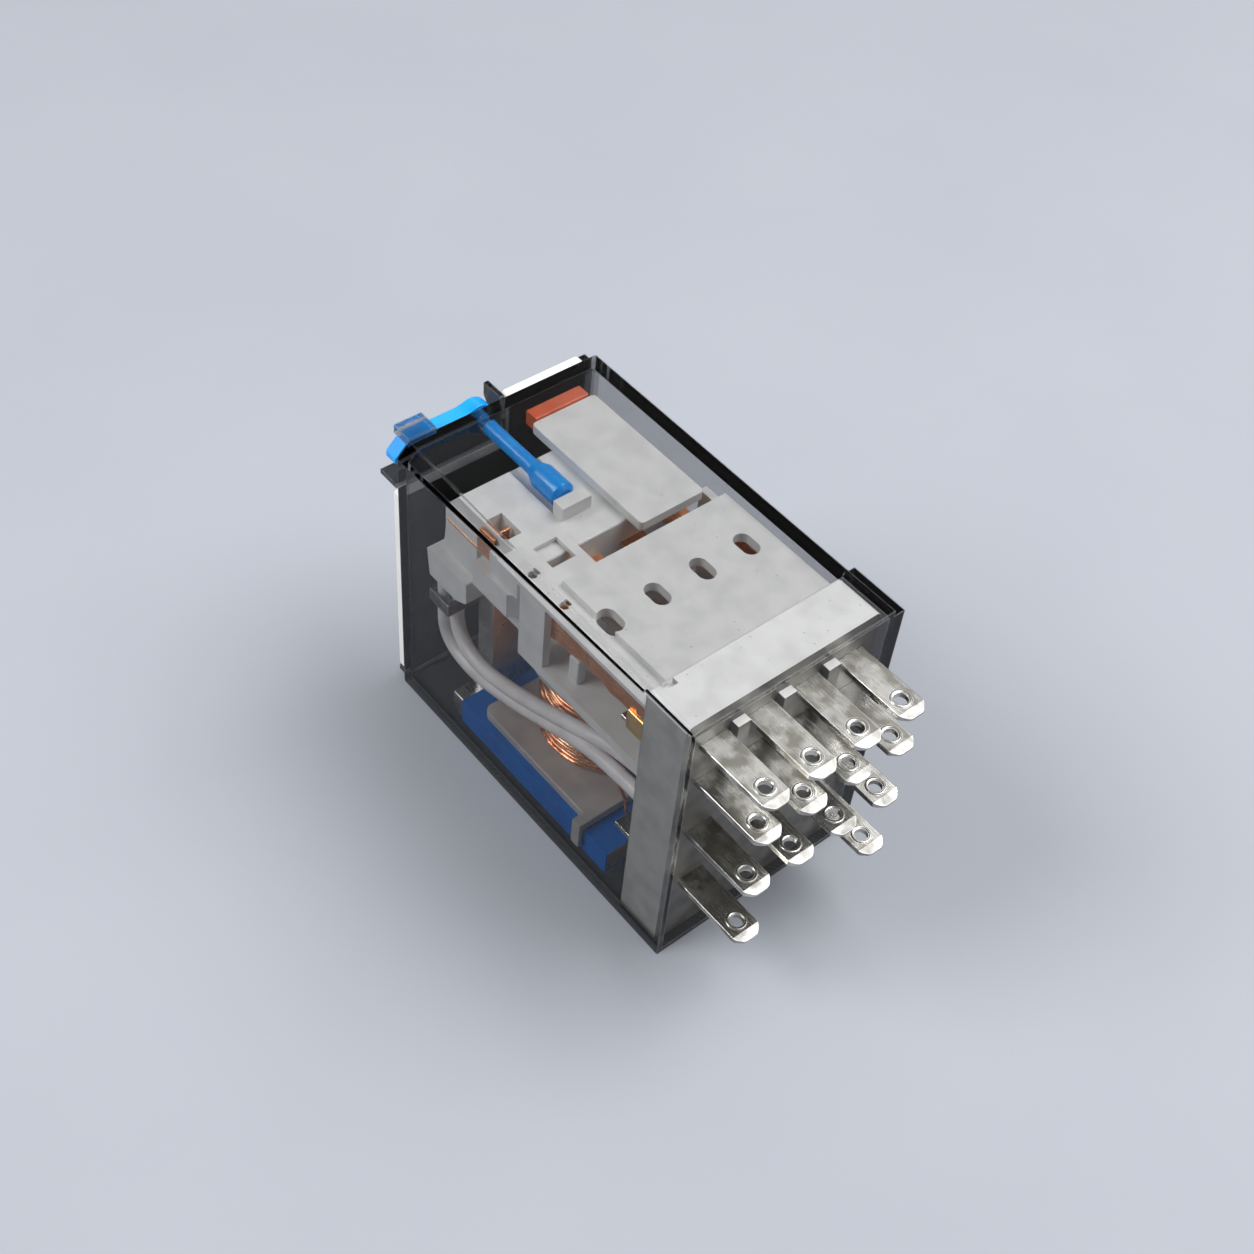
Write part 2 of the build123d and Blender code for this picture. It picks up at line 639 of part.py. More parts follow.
# Yoke: floor leg, bent up at the far end, with a tongue into the base
with BuildPart() as yoke:
    side_profile(
        [
            (YOKE_FAR, YOKE_Z),
            (HINGE_X, YOKE_Z),
            (HINGE_X, LIMB_TOP),
            (YOKE_FAR, LIMB_TOP),
        ],
        (-LIMB_W / 2, LIMB_W / 2),
    )
    block((YOKE_FAR, YOKE_NEAR), (-YOKE_HALF, YOKE_HALF), (YOKE_Z, YOKE_TOP))
    bend = yoke.edges().filter_by(Axis.Y).group_by(Axis.X)[0].sort_by(Axis.Z)[0]
    fillet(bend, YOKE_BEND_R)
    block((YOKE_NEAR, BASE_IN + TONGUE_IN), (-TONGUE_W / 2, TONGUE_W / 2), (YOKE_Z, YOKE_TOP))
    with BuildSketch(PLAN.offset(YOKE_Z)):
        with Locations((COIL_X, 0)):
            Circle(CORE_R)
    extrude(amount=YOKE_T, mode=Mode.SUBTRACT)

    # Lanced hook for the return spring
    block((HOOK_FAR, YOKE_FAR), (-HOOK_W / 2, HOOK_W / 2), (HOOK_Z, HOOK_Z + HOOK_T))
    with BuildSketch(PLAN.offset(HOOK_Z)):
        with Locations((RETURN_X, 0)):
            RegularPolygon(HOOK_HOLE_R, HOLE_SIDES)
    extrude(amount=HOOK_T, mode=Mode.SUBTRACT)
save(yoke, "yoke")

# Blue film wrapped round the floor leg of the yoke
with BuildPart() as yoke_film:
    block(
        (FILM_FAR, YOKE_NEAR),
        (-YOKE_HALF - FILM_T, YOKE_HALF + FILM_T),
        (FILM_Z, FILM_TOP),
    )
    block((FILM_FAR, YOKE_NEAR), (-YOKE_HALF, YOKE_HALF), (YOKE_Z, YOKE_TOP), Mode.SUBTRACT)
    limb_half = LIMB_W / 2 + FIT
    block((FILM_FAR, HINGE_X + FIT), (-limb_half, limb_half), (YOKE_TOP, FILM_TOP), Mode.SUBTRACT)
    with BuildSketch(PLAN.offset(YOKE_TOP)):
        with Locations((COIL_X, 0)):
            Circle(CORE_R + FIT)
    extrude(amount=FILM_T, mode=Mode.SUBTRACT)
save(yoke_film, "yoke_film")

# Core, riveted in the yoke, with its pole disc
with BuildPart() as core:
    with BuildSketch(PLAN.offset(YOKE_Z)):
        with Locations((COIL_X, 0)):
            Circle(CORE_R)
    extrude(amount=FLANGE_TOP - YOKE_Z)
    with BuildSketch(PLAN.offset(FLANGE_TOP)):
        with Locations((COIL_X, 0)):
            Circle(POLE_R)
    extrude(amount=POLE_T)
    chamfer(core.faces().sort_by(Axis.Z)[-1].edges(), POLE_EDGE)
save(core, "core")

# Bobbin: square floor flange with hooked feet, tube, round top flange
with BuildPart() as bobbin:
    with BuildSketch(PLAN.offset(FILM_TOP)) as floor_flange:
        with Locations((COIL_X, 0)):
            Rectangle(2 * FLANGE_R, 2 * FLANGE_HALF)
        fillet(floor_flange.vertices(), FLANGE_CORNER)
        with Locations((COIL_X + FLANGE_R - FOOT_L / 2, 0)):
            Rectangle(FOOT_L, 2 * CHEEK_OUT)
    extrude(amount=LOW_FLANGE_T)
    for side in (-1, 1):
        foot_y = sorted((side * (YOKE_HALF + FILM_T + FIT), side * CHEEK_OUT))
        block((COIL_X + FLANGE_R - FOOT_L, COIL_X + FLANGE_R), foot_y, (FILM_TOP - FOOT_DROP, FILM_TOP))
    with BuildSketch(PLAN.offset(FILM_TOP)):
        with Locations((COIL_X, 0)):
            Circle(CORE_R + FIT + TUBE_T)
    extrude(amount=FLANGE_TOP - FILM_TOP)
    with BuildSketch(PLAN.offset(WINDING_TOP)):
        with Locations((COIL_X, 0)):
            Circle(FLANGE_R)
    extrude(amount=TOP_FLANGE_T)
    with BuildSketch(PLAN.offset(FILM_TOP)):
        with Locations((COIL_X, 0)):
            Circle(CORE_R + FIT)
    extrude(amount=FLANGE_TOP - FILM_TOP, mode=Mode.SUBTRACT)
save(bobbin, "bobbin")

with BuildPart() as coil_winding:
    with BuildSketch(PLAN.offset(WINDING_Z)):
        with Locations((COIL_X, 0)):
            Circle(WINDING_R)
            Circle(CORE_R + FIT + TUBE_T, mode=Mode.SUBTRACT)
    extrude(amount=WINDING_H)
save(coil_winding, "coil_winding")

# Armature: rocks on the top of the limb, with a tail for the return spring
with BuildPart() as armature:
    with BuildSketch(PLAN.offset(ARMATURE_Z)) as armature_outline:
        with Locations(((YOKE_FAR + ARMATURE_NEAR) / 2, 0)):
            Rectangle(ARMATURE_NEAR - YOKE_FAR, ARMATURE_W)
        fillet(armature_outline.vertices().group_by(Axis.X)[-1], ARMATURE_CORNER_R)
        with Locations(((HOOK_FAR + YOKE_FAR) / 2, 0)):
            Rectangle(YOKE_FAR - HOOK_FAR, HOOK_W)
        with Locations((RETURN_X, 0)):
            RegularPolygon(HOOK_HOLE_R + LOOSE, HOLE_SIDES, mode=Mode.SUBTRACT)
    extrude(amount=ARMATURE_T)
save(armature, "armature")

# Return spring: open turns with straight ends through the hook and the tail
with BuildPart() as return_spring:
    with BuildLine() as turns:
        Helix(
            (RETURN_TOP - RETURN_Z) / RETURN_TURNS,
            RETURN_TOP - RETURN_Z,
            RETURN_R,
            center=(TERMINAL_X + RETURN_X - RETURN_R, CENTRE_Y, RETURN_Z),
        )
    with BuildSketch(SIDE):
        with Locations((RETURN_X, RETURN_Z)):
            RegularPolygon(RETURN_WIRE_R, RETURN_WIRE_SIDES)
    sweep(path=turns.line, is_frenet=True)
    for low, high in ((HOOK_Z, RETURN_Z), (RETURN_TOP, ARMATURE_TOP)):
        with BuildSketch(PLAN.offset(low)) as wire_end:
            with Locations((RETURN_X, 0)):
                RegularPolygon(RETURN_WIRE_R, RETURN_WIRE_SIDES)
        extrude(wire_end.sketch, amount=high - low)
save(return_spring, "return_spring")

# Carrier of the contact springs, moulded in steps, on top of the armature
with BuildPart() as contact_carrier:
    side_profile(
        [
            (CARRIER_FAR, ARMATURE_TOP),
            (LEDGE_NEAR, ARMATURE_TOP),
            (CARRIER_NEAR, ARMATURE_TOP + CARRIER_SLOPE),
            (CARRIER_NEAR, CARRIER_TOP),
            (CARRIER_FAR + CARRIER_SLOPE, CARRIER_TOP),
            (CARRIER_FAR, CARRIER_TOP - CARRIER_SLOPE - STEP),
        ],
        (-CARRIER_HALF, CARRIER_HALF),
        MOULD_R,
    )
    for side in (-1, 1):
        skirt = sorted((side * SKIRT_IN, side * SKIRT_OUT))
        side_profile(
            [
                (CARRIER_FAR - 2 * STEP, SKIRT_TOP),
                (CARRIER_FAR - STEP, SKIRT_Z),
                (SKIRT_NEAR - CARRIER_SLOPE, SKIRT_Z),
                (SKIRT_NEAR, SKIRT_Z + CARRIER_SLOPE / 2),
                (SKIRT_NEAR, SKIRT_TOP),
            ],
            skirt,
            MOULD_R,
        )
        cheek = sorted((side * (CARRIER_HALF - STEP), side * (CARRIER_HALF + STEP)))
        side_profile(
            [
                (CARRIER_FAR, SKIRT_TOP - STEP),
                (SKIRT_NEAR, SKIRT_TOP - STEP),
                (SKIRT_NEAR, CARRIER_TOP - CARRIER_SLOPE),
                (CARRIER_FAR + 2 * STEP, CARRIER_TOP - CARRIER_SLOPE),
                (CARRIER_FAR + STEP, SKIRT_TOP + CARRIER_SLOPE),
            ],
            cheek,
            MOULD_R,
        )
    with BuildSketch(PLAN.offset(SKIRT_TOP + STEP)) as ledge:
        with Locations(((SKIRT_NEAR + STEP + LEDGE_NEAR) / 2, 0)):
            Rectangle(LEDGE_NEAR - SKIRT_NEAR - STEP, 2 * LEDGE_OUT)
        chamfer(ledge.vertices().group_by(Axis.X)[-1], CARRIER_SLOPE / 2)
    extrude(amount=SPRING_BOTTOM - SKIRT_TOP - 3 * STEP)
    with BuildSketch(PLAN.offset(SPRING_BOTTOM - 2 * STEP)) as upper:
        with Locations((CARRIER_NEAR - UPPER_L / 2, 0)):
            Rectangle(UPPER_L, 2 * (LEDGE_OUT - STEP))
        chamfer(upper.vertices().group_by(Axis.X)[-1], 2 * STEP)
    extrude(amount=UPPER_H)

    # Slots for the springs, with windows over the outer two
    for y in COLUMNS:
        slot = (y - SPRING_W / 2 - SLOT_FIT, y + SPRING_W / 2 + SLOT_FIT)
        block((SPRING_FAR, CARRIER_NEAR), slot, (SPRING_BOTTOM, SPRING_TOP), Mode.SUBTRACT)
    for y in (COLUMNS[0], COLUMNS[-1]):
        window = (WINDOW_X - WINDOW_L / 2, WINDOW_X + WINDOW_L / 2)
        block(window, (y - WINDOW_W / 2, y + WINDOW_W / 2), (SPRING_TOP, CARRIER_TOP), Mode.SUBTRACT)

    # Channel for the pad of the lever, and the lug that the pad pushes
    channel = (ROD_Y - PAD_R - BESIDE, ROD_Y + PAD_R + BESIDE)
    block((CARRIER_FAR, PUSH_X), channel, (ROD_Z - PAD_R - BESIDE, CARRIER_TOP), Mode.SUBTRACT)
    block((PUSH_X, PUSH_X + LUG_T), channel, (CARRIER_TOP, ROD_Z + ROD_R))

    # Sockets for the tops of the leads
    with BuildSketch(PLAN.offset(SKIRT_Z)):
        for side in (-1, 1):
            for x, y in LEAD_TOPS:
                with Locations((x, side * y)):
                    RegularPolygon(LEAD_R + LOOSE, LEAD_SIDES)
    extrude(amount=LEAD_TOP_Z - SKIRT_Z + BESIDE, mode=Mode.SUBTRACT)
save(contact_carrier, "contact_carrier")

# Indicator arm, with a tongue that holds the coloured flag
with BuildPart() as indicator_arm:
    with BuildSketch(PLAN.offset(CARRIER_TOP)) as arm_plate:
        with Locations(((ARM_FAR + ARM_NEAR) / 2, ARM_Y)):
            Rectangle(ARM_NEAR - ARM_FAR, ARM_W)
        fillet(arm_plate.vertices(), 2 * MOULD_R)
    extrude(amount=ARM_T)
    flag_seat = (ARM_Y - FLAG_TONGUE_W / 2, ARM_Y + FLAG_TONGUE_W / 2)
    flag_grip = (CARRIER_TOP + MOULD_R, CARRIER_TOP + ARM_T - MOULD_R)
    block((ARM_FAR - FLAG_TONGUE_L, ARM_FAR), flag_seat, flag_grip)
save(indicator_arm, "indicator_arm")

with BuildPart() as indicator_flag:
    side_profile(
        [
            (FLAG_FAR, CARRIER_TOP - STEP),
            (ARM_FAR, CARRIER_TOP - STEP),
            (ARM_FAR, CARRIER_TOP + ARM_T + MOULD_R),
            (FLAG_FAR, CARRIER_TOP + ARM_T + MOULD_R),
        ],
        (ARM_Y - FLAG_W / 2, ARM_Y + FLAG_W / 2),
        MOULD_R,
    )
    block(
        (ARM_FAR - FLAG_TONGUE_L - FIT, ARM_FAR),
        (ARM_Y - FLAG_TONGUE_W / 2 - FIT, ARM_Y + FLAG_TONGUE_W / 2 + FIT),
        (CARRIER_TOP + MOULD_R - FIT, CARRIER_TOP + ARM_T - MOULD_R + FIT),
        Mode.SUBTRACT,
    )
save(indicator_flag, "indicator_flag")

# Frame of the fixed contacts: four chambers between cheeks, floor and top plate
with BuildPart() as contact_frame:
    for side in (-1, 1):
        cheek = sorted((side * CHEEK_IN, side * CHEEK_OUT))
        side_profile(
            [
                (CHEEK_FAR, FRAME_FLOOR - FRAME_FLOOR_T),
                (BASE_IN, FRAME_FLOOR - FRAME_FLOOR_T),
                (BASE_IN, FRAME_FLOOR),
                (CHEEK_NEAR, FRAME_FLOOR),
                (CHEEK_NEAR, FRAME_CEILING),
                (CHEEK_FAR, FRAME_CEILING),
            ],
            cheek,
        )
        leg = sorted((side * FOOT_IN, side * FOOT_OUT))
        block((CHEEK_FAR, CHEEK_NEAR), leg, (FLANGE_TOP, FRAME_FLOOR))
        web = sorted((side * FOOT_IN, side * CHEEK_OUT))
        block((CHEEK_FAR, CHAMBER_FAR), web, (FRAME_FLOOR - FRAME_FLOOR_T, FRAME_FLOOR))
    block((CHAMBER_FAR, BASE_IN), (-CHEEK_OUT, CHEEK_OUT), (FRAME_FLOOR - FRAME_FLOOR_T, FRAME_FLOOR))
    for y in GAPS:
        wall = (y - PARTITION_T / 2, y + PARTITION_T / 2)
        block((CHAMBER_FAR, BASE_IN), wall, (FRAME_FLOOR, FRAME_CEILING))
    with BuildSketch(END.offset(PLATE_FAR)) as plate_section:
        with BuildLine():
            Polyline(
                (-CHEEK_OUT, FRAME_CEILING),
                (CHEEK_OUT, FRAME_CEILING),
                (CHEEK_OUT, FRAME_TOP),
                (PLATE_STEP_Y, FRAME_TOP),
                (PLATE_STEP_Y, FRAME_TOP - PLATE_STEP),
                (-CHEEK_OUT, FRAME_TOP - PLATE_STEP),
                close=True,
            )
        make_face()
    extrude(amount=BASE_IN - PLATE_FAR)

    # Ear of the plate over the left side of the carrier, with its window
    ear_top = FRAME_TOP - PLATE_STEP
    block((PLATE_EAR_FAR, PLATE_FAR), (-CHEEK_OUT, PLATE_EAR_Y), (FRAME_CEILING, ear_top))
    ear_window_x = (PLATE_EAR_FAR + EAR_WINDOW_BACK, PLATE_EAR_FAR + EAR_WINDOW_BACK + EAR_WINDOW_L)
    ear_window_y = (PLATE_EAR_Y - EAR_WINDOW_BACK - EAR_WINDOW_W, PLATE_EAR_Y - EAR_WINDOW_BACK)
    block(ear_window_x, ear_window_y, (FRAME_CEILING, ear_top), Mode.SUBTRACT)
    with BuildSketch(PLAN.offset(FRAME_CEILING)):
        with Locations(*[(SIGHT_X, y) for y in COLUMNS]):
            SlotOverall(SIGHT_L, SIGHT_W)
        for x in (PLATE_EAR_FAR + PIN_BACK, PLATE_EAR_FAR + PIN_BACK + PIN_STEP):
            with Locations((x, -CHEEK_OUT + PLATE_STEP_W / 2)):
                RegularPolygon(PIN_HOLE_R, HOLE_SIDES)
    extrude(amount=FRAME_PLATE_T, mode=Mode.SUBTRACT)
save(contact_frame, "contact_frame")

# Clamp across the limb that holds the tops of the leads
with BuildPart() as lead_clamp:
    with BuildSketch(PLAN.offset(LIMB_TOP - CLAMP_DROP)):
        with Locations((YOKE_FAR - CLAMP_T / 2, 0)):
            Rectangle(CLAMP_T, 2 * CLAMP_OUT)
        for side in (-1, 1):
            with Locations(((YOKE_FAR + CLAMP_FAR) / 2, side * (CLAMP_OUT - CLAMP_T / 2))):
                Rectangle(YOKE_FAR - CLAMP_FAR, CLAMP_T)
            with Locations((CLAMP_FAR + CLAMP_T / 2, side * (CLAMP_OUT - CLAMP_LIP / 2))):
                Rectangle(CLAMP_T, CLAMP_LIP)
    extrude(amount=CLAMP_H)
save(lead_clamp, "lead_clamp")


def lead(route, y):
    """Insulated lead in one upright plane: straight runs joined by arcs."""
    with BuildPart() as cord:
        with BuildLine(SIDE.offset(-y)) as path:
            FilletPolyline(*route, radius=LEAD_BEND)
        with BuildSketch(PLAN.offset(route[0][1])) as section:
            with Locations((route[0][0], y)):
                RegularPolygon(LEAD_R, LEAD_SIDES)
        sweep(section.sketch, path=path.line)
    return cord


for side, label in ((-1, "left"), (1, "right")):
    save(lead(OUTER_ROUTE, side * LEAD_Y), f"outer_lead_{label}")
    save(lead(INNER_ROUTE, side * (LEAD_Y - LEAD_STEP)), f"inner_lead_{label}")

# Fine wires from the winding to the coil terminals
with BuildPart() as coil_wires:
    for y in (COLUMNS[0], COLUMNS[-1]):
        run = COIL_IN - COIL_X
        reach = (run**2 + y**2) ** 0.5
        upright = Plane(
            origin=(TERMINAL_X + COIL_X, CENTRE_Y, 0),
            x_dir=(run, y, 0),
            z_dir=(y, -run, 0),
        )
        with BuildLine(upright) as wire_path:
            FilletPolyline(
                (WINDING_R, WINDING_Z + WIRE_UP),
                (WINDING_R + WIRE_RUN, WINDING_Z + WIRE_UP),
                (reach - WIRE_RUN, COIL_Z),
                (reach - LOOSE, COIL_Z),
                radius=WIRE_BEND,
            )
        with BuildSketch(Plane(wire_path.line @ 0, z_dir=wire_path.line % 0)) as wire_section:
            RegularPolygon(WIRE_R, 6)
        sweep(wire_section.sketch, path=wire_path.line)
save(coil_wires, "coil_wires")
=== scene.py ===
"""Plug-in relay with a clear smoked case, lying on its coil side.

Each node of the frame gets a finished piece of its own shape. The wound wire, the leads, the pressed rings and
the small straps, crimps and pegs are made here.
"""

from math import cos, radians, sin

import bmesh
import bpy
from mathutils import Matrix, Vector


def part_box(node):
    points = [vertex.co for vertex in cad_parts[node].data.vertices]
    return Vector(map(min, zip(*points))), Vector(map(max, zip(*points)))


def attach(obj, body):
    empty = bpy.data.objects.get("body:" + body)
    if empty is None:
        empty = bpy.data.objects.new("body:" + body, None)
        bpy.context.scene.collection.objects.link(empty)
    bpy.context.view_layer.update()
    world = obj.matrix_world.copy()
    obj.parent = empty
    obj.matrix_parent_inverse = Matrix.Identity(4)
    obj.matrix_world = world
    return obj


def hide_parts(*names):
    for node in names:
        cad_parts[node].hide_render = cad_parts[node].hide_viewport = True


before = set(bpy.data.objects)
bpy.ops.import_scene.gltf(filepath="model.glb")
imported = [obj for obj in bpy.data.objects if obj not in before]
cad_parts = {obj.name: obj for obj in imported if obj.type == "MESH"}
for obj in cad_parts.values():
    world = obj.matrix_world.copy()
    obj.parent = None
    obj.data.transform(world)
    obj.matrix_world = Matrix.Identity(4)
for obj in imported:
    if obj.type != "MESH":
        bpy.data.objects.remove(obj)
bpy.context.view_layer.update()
MM = 0.001
ROOT, ROCKER, LEVER = "relay", "armature", "lever"
COLOUR, NUMBER = "NodeSocketColor", "NodeSocketFloat"


# Node helpers
def node(tree, kind, settings=None, family="ShaderNode", **inputs):
    """Adds one node. An input's name has _ for a space, or is _ and its number. It takes a value or an output."""
    made = tree.nodes.new(family + kind)
    for name, value in (settings or {}).items():
        setattr(made, name, value)
    for name, value in inputs.items():
        key = int(name[1:]) if name[0] == "_" else name.replace("_", " ")
        socket = made.inputs[key]
        if isinstance(value, bpy.types.NodeSocket):
            tree.links.new(value, socket)
        else:
            socket.default_value = value
    return made


def colour(red, green, blue):
    return (red, green, blue, 1.0)


def new_group(name, inputs, outputs):
    """A shader node group with named sockets. Returns the group, what it is given and what it results in."""
    tree = bpy.data.node_groups.new(name, "ShaderNodeTree")
    kinds = {float: NUMBER, tuple: COLOUR}
    for label, value in inputs.items():
        socket = tree.interface.new_socket(label, in_out="INPUT", socket_type=kinds[type(value)])
        socket.default_value = value
    for label, kind in outputs.items():
        tree.interface.new_socket(label, in_out="OUTPUT", socket_type=kind)
    return tree, tree.nodes.new("NodeGroupInput").outputs, tree.nodes.new("NodeGroupOutput").inputs


def place(tree, group, **inputs):
    return node(tree, "Group", {"node_tree": group}, **inputs).outputs


def object_spot(tree):
    return node(tree, "TexCoord").outputs["Object"]


def parted(tree, vector):
    return node(tree, "SeparateXYZ", None, Vector=vector).outputs


def noise(tree, where, scale, detail=3.0, rough=0.5):
    made = node(tree, "TexNoise", None, Vector=where, Scale=scale, Detail=detail, Roughness=rough)
    return made.outputs["Fac"]


def remapped(tree, value, low, high, to_low=0.0, to_high=1.0):
    return node(
        tree, "MapRange", None, Value=value, From_Min=low, From_Max=high, To_Min=to_low, To_Max=to_high
    ).outputs["Result"]


def maths(tree, operation, first, second=0.0):
    return node(tree, "Math", {"operation": operation}, _0=first, _1=second).outputs[0]


def mixed(tree, factor, first, second):
    return node(tree, "Mix", {"data_type": "RGBA"}, _0=factor, _6=first, _7=second).outputs[2]


# Effects that the materials share
def cloud_group():
    """Soft uneven tint: one colour drifts into another."""
    tree, given, result = new_group(
        "uneven tint",
        {"Colour": colour(0.8, 0.8, 0.8), "Other": colour(0.7, 0.7, 0.7), "Scale": 300.0, "Low": 0.4, "High": 0.65},
        {"Colour": COLOUR, "Mask": NUMBER},
    )
    mask = remapped(tree, noise(tree, object_spot(tree), given["Scale"]), given["Low"], given["High"])
    tree.links.new(mixed(tree, mask, given["Colour"], given["Other"]), result["Colour"])
    tree.links.new(mask, result["Mask"])
    return tree


def specks_group():
    """Small specks of dust or dirt, or pits, from a cell pattern."""
    tree, given, result = new_group(
        "specks",
        {
            "Colour": colour(0.8, 0.8, 0.8),
            "Speck": colour(0.2, 0.2, 0.2),
            "Scale": 2500.0,
            "Size": 0.12,
            "Amount": 0.3,
        },
        {"Colour": COLOUR},
    )
    cells = node(tree, "TexVoronoi", None, Vector=object_spot(tree), Scale=given["Scale"])
    small = maths(tree, "LESS_THAN", cells.outputs["Distance"], given["Size"])
    pick = node(tree, "SeparateColor", None, Color=cells.outputs["Color"]).outputs["Red"]
    mask = maths(tree, "MULTIPLY", small, maths(tree, "LESS_THAN", pick, given["Amount"]))
    tree.links.new(mixed(tree, mask, given["Colour"], given["Speck"]), result["Colour"])
    return tree


def drawn_group():
    """Fine lines along X, as rolling or drawing leaves them."""
    tree, given, result = new_group("drawn lines", {"Scale": 9000.0, "Stretch": 0.03}, {"Lines": NUMBER})
    parts = parted(tree, object_spot(tree))
    along = maths(tree, "MULTIPLY", parts["X"], given["Stretch"])
    stretched = node(tree, "CombineXYZ", None, X=along, Y=parts["Y"], Z=parts["Z"]).outputs["Vector"]
    tree.links.new(noise(tree, stretched, given["Scale"], detail=2.0), result["Lines"])
    return tree


def edge_group():
    """Mask of the edges, broken up where they have worn."""
    tree, given, result = new_group("worn edges", {"Radius": 0.12 * MM, "Wear": 0.5}, {"Mask": NUMBER})
    rounded = node(tree, "Bevel", {"samples": 4}, Radius=given["Radius"]).outputs["Normal"]
    straight = node(tree, "NewGeometry").outputs["Normal"]
    match = node(tree, "VectorMath", {"operation": "DOT_PRODUCT"}, _0=rounded, _1=straight).outputs["Value"]
    edge = remapped(tree, match, 0.995, 0.88)
    broken = remapped(tree, noise(tree, object_spot(tree), 1400.0), 0.35, 0.6, given["Wear"], 1.0)
    tree.links.new(maths(tree, "MULTIPLY", edge, broken), result["Mask"])
    return tree


def dust_group():
    """Thin dust that settles on faces which look up."""
    tree, given, result = new_group(
        "settled dust",
        {"Colour": colour(0.8, 0.8, 0.8), "Dust": colour(0.75, 0.73, 0.7), "Amount": 0.1},
        {"Colour": COLOUR},
    )
    up = remapped(tree, parted(tree, node(tree, "NewGeometry").outputs["Normal"])["Z"], 0.2, 0.9)
    patch = remapped(tree, noise(tree, object_spot(tree), 350.0), 0.4, 0.75)
    mask = maths(tree, "MULTIPLY", maths(tree, "MULTIPLY", up, patch), given["Amount"])
    tree.links.new(mixed(tree, mask, given["Colour"], given["Dust"]), result["Colour"])
    return tree


def thick_and_shaded_group():
    """Darkens the smoked plastic's tint at floor, latch, guard and shelf, and less so at far end and tab: part
    thickness, part painted shade.
    """
    tree, given, result = new_group(
        "thick and shaded sections",
        {
            "Colour": colour(1.0, 1.0, 1.0),
            "Dark": colour(0.1, 0.1, 0.1),
            "Floor": 1.3 * MM,
            "Latch": 9.4 * MM,
            "End Wall": -18.4 * MM,
            "Outside": -19.65 * MM,
            "Shelf": 24.5 * MM,
            "Guard": -1.0 * MM,
            "Wall Share": 0.6,
            "Tab Share": 0.4,
        },
        {"Colour": COLOUR},
    )
    parts = parted(tree, object_spot(tree))
    # Painted shade at the floor, where the shaded floor beneath shows through
    low = remapped(tree, parts["Z"], given["Floor"], maths(tree, "MULTIPLY", given["Floor"], 1.4), 1.0, 0.0)
    latch = maths(tree, "GREATER_THAN", parts["Y"], given["Latch"])
    outside = maths(tree, "LESS_THAN", parts["X"], given["Outside"])
    shelf = maths(tree, "LESS_THAN", parts["Z"], given["Shelf"])
    guard = maths(tree, "GREATER_THAN", parts["Y"], given["Guard"])
    share = maths(tree, "MAXIMUM", maths(tree, "MAXIMUM", shelf, guard), given["Tab Share"])
    far = maths(tree, "MULTIPLY", outside, share)
    wall = maths(tree, "SUBTRACT", maths(tree, "LESS_THAN", parts["X"], given["End Wall"]), outside)
    wall = maths(tree, "MULTIPLY", wall, given["Wall Share"])
    mask = maths(tree, "MAXIMUM", maths(tree, "MAXIMUM", low, wall), maths(tree, "MAXIMUM", latch, far))
    tree.links.new(mixed(tree, mask, given["Colour"], given["Dark"]), result["Colour"])
    return tree


CLOUD = cloud_group()
SPECKS = specks_group()
DRAWN = drawn_group()
EDGES = edge_group()
DUST = dust_group()
THICK_AND_SHADED = thick_and_shaded_group()


# Materials
def new_material(name):
    material = bpy.data.materials.new(name)
    material.use_nodes = True
    tree = material.node_tree
    return material, tree, tree.nodes["Principled BSDF"]


def set_plain(shader, **values):
    for name, value in values.items():
        shader.inputs[name.replace("_", " ")].default_value = value


def wire(tree, value, shader, name):
    tree.links.new(value, shader.inputs[name])


def bumped(tree, shader, height, distance, strength):
    bump = node(tree, "Bump", None, Height=height, Distance=distance, Strength=strength)
    wire(tree, bump.outputs["Normal"], shader, "Normal")


def moulded_plastic(name, main, other, roughness, dust=0.12, specks=0.05, glow=0.0, ior=None):
    """Satin moulded plastic: drifting tint, a few specks, settled dust and a fine spark-eroded grain."""
    material, tree, shader = new_material(name)
    tint = place(tree, CLOUD, Colour=main, Other=other, Scale=420.0)
    dirty = place(tree, SPECKS, Colour=tint["Colour"], Speck=colour(0.16, 0.15, 0.14), Amount=specks)
    dusty = place(tree, DUST, Colour=dirty["Colour"], Amount=dust)
    wire(tree, dusty["Colour"], shader, "Base Color")
    wire(tree, remapped(tree, tint["Mask"], 0.0, 1.0, roughness - 0.05, roughness + 0.06), shader, "Roughness")
    bumped(tree, shader, noise(tree, object_spot(tree), 900.0), 0.01 * MM, 0.15)
    if glow:
        set_plain(shader, Subsurface_Weight=glow, Subsurface_Radius=(1.0, 1.0, 1.0), Subsurface_Scale=0.6 * MM)
    if ior:
        set_plain(shader, IOR=ior)
    return material


def bare_metal(name, main, other, edge, roughness, lines=0.35, wear=0.5, dirt=0.0):
    """Metal with rolling lines, drifting stains, dents that bend its reflections and bright worn edges."""
    material, tree, shader = new_material(name)
    stain = place(tree, CLOUD, Colour=main, Other=other, Scale=620.0, Low=0.4, High=0.62)
    spotted = place(tree, SPECKS, Colour=stain["Colour"], Speck=colour(0.1, 0.09, 0.08), Scale=3200.0, Amount=dirt)
    worn = place(tree, EDGES, Wear=wear)["Mask"]
    wire(tree, mixed(tree, worn, spotted["Colour"], edge), shader, "Base Color")
    drawn = place(tree, DRAWN)["Lines"]
    rough = remapped(tree, drawn, 0.3, 0.7, roughness - 0.06, roughness + 0.08)
    wire(tree, maths(tree, "ADD", rough, maths(tree, "MULTIPLY", stain["Mask"], 0.12)), shader, "Roughness")
    dents = maths(tree, "MULTIPLY", noise(tree, object_spot(tree), 380.0, detail=2.0), 3.0)
    bumped(tree, shader, maths(tree, "ADD", dents, drawn), 0.012 * MM, lines)
    set_plain(shader, Metallic=1.0)
    return material


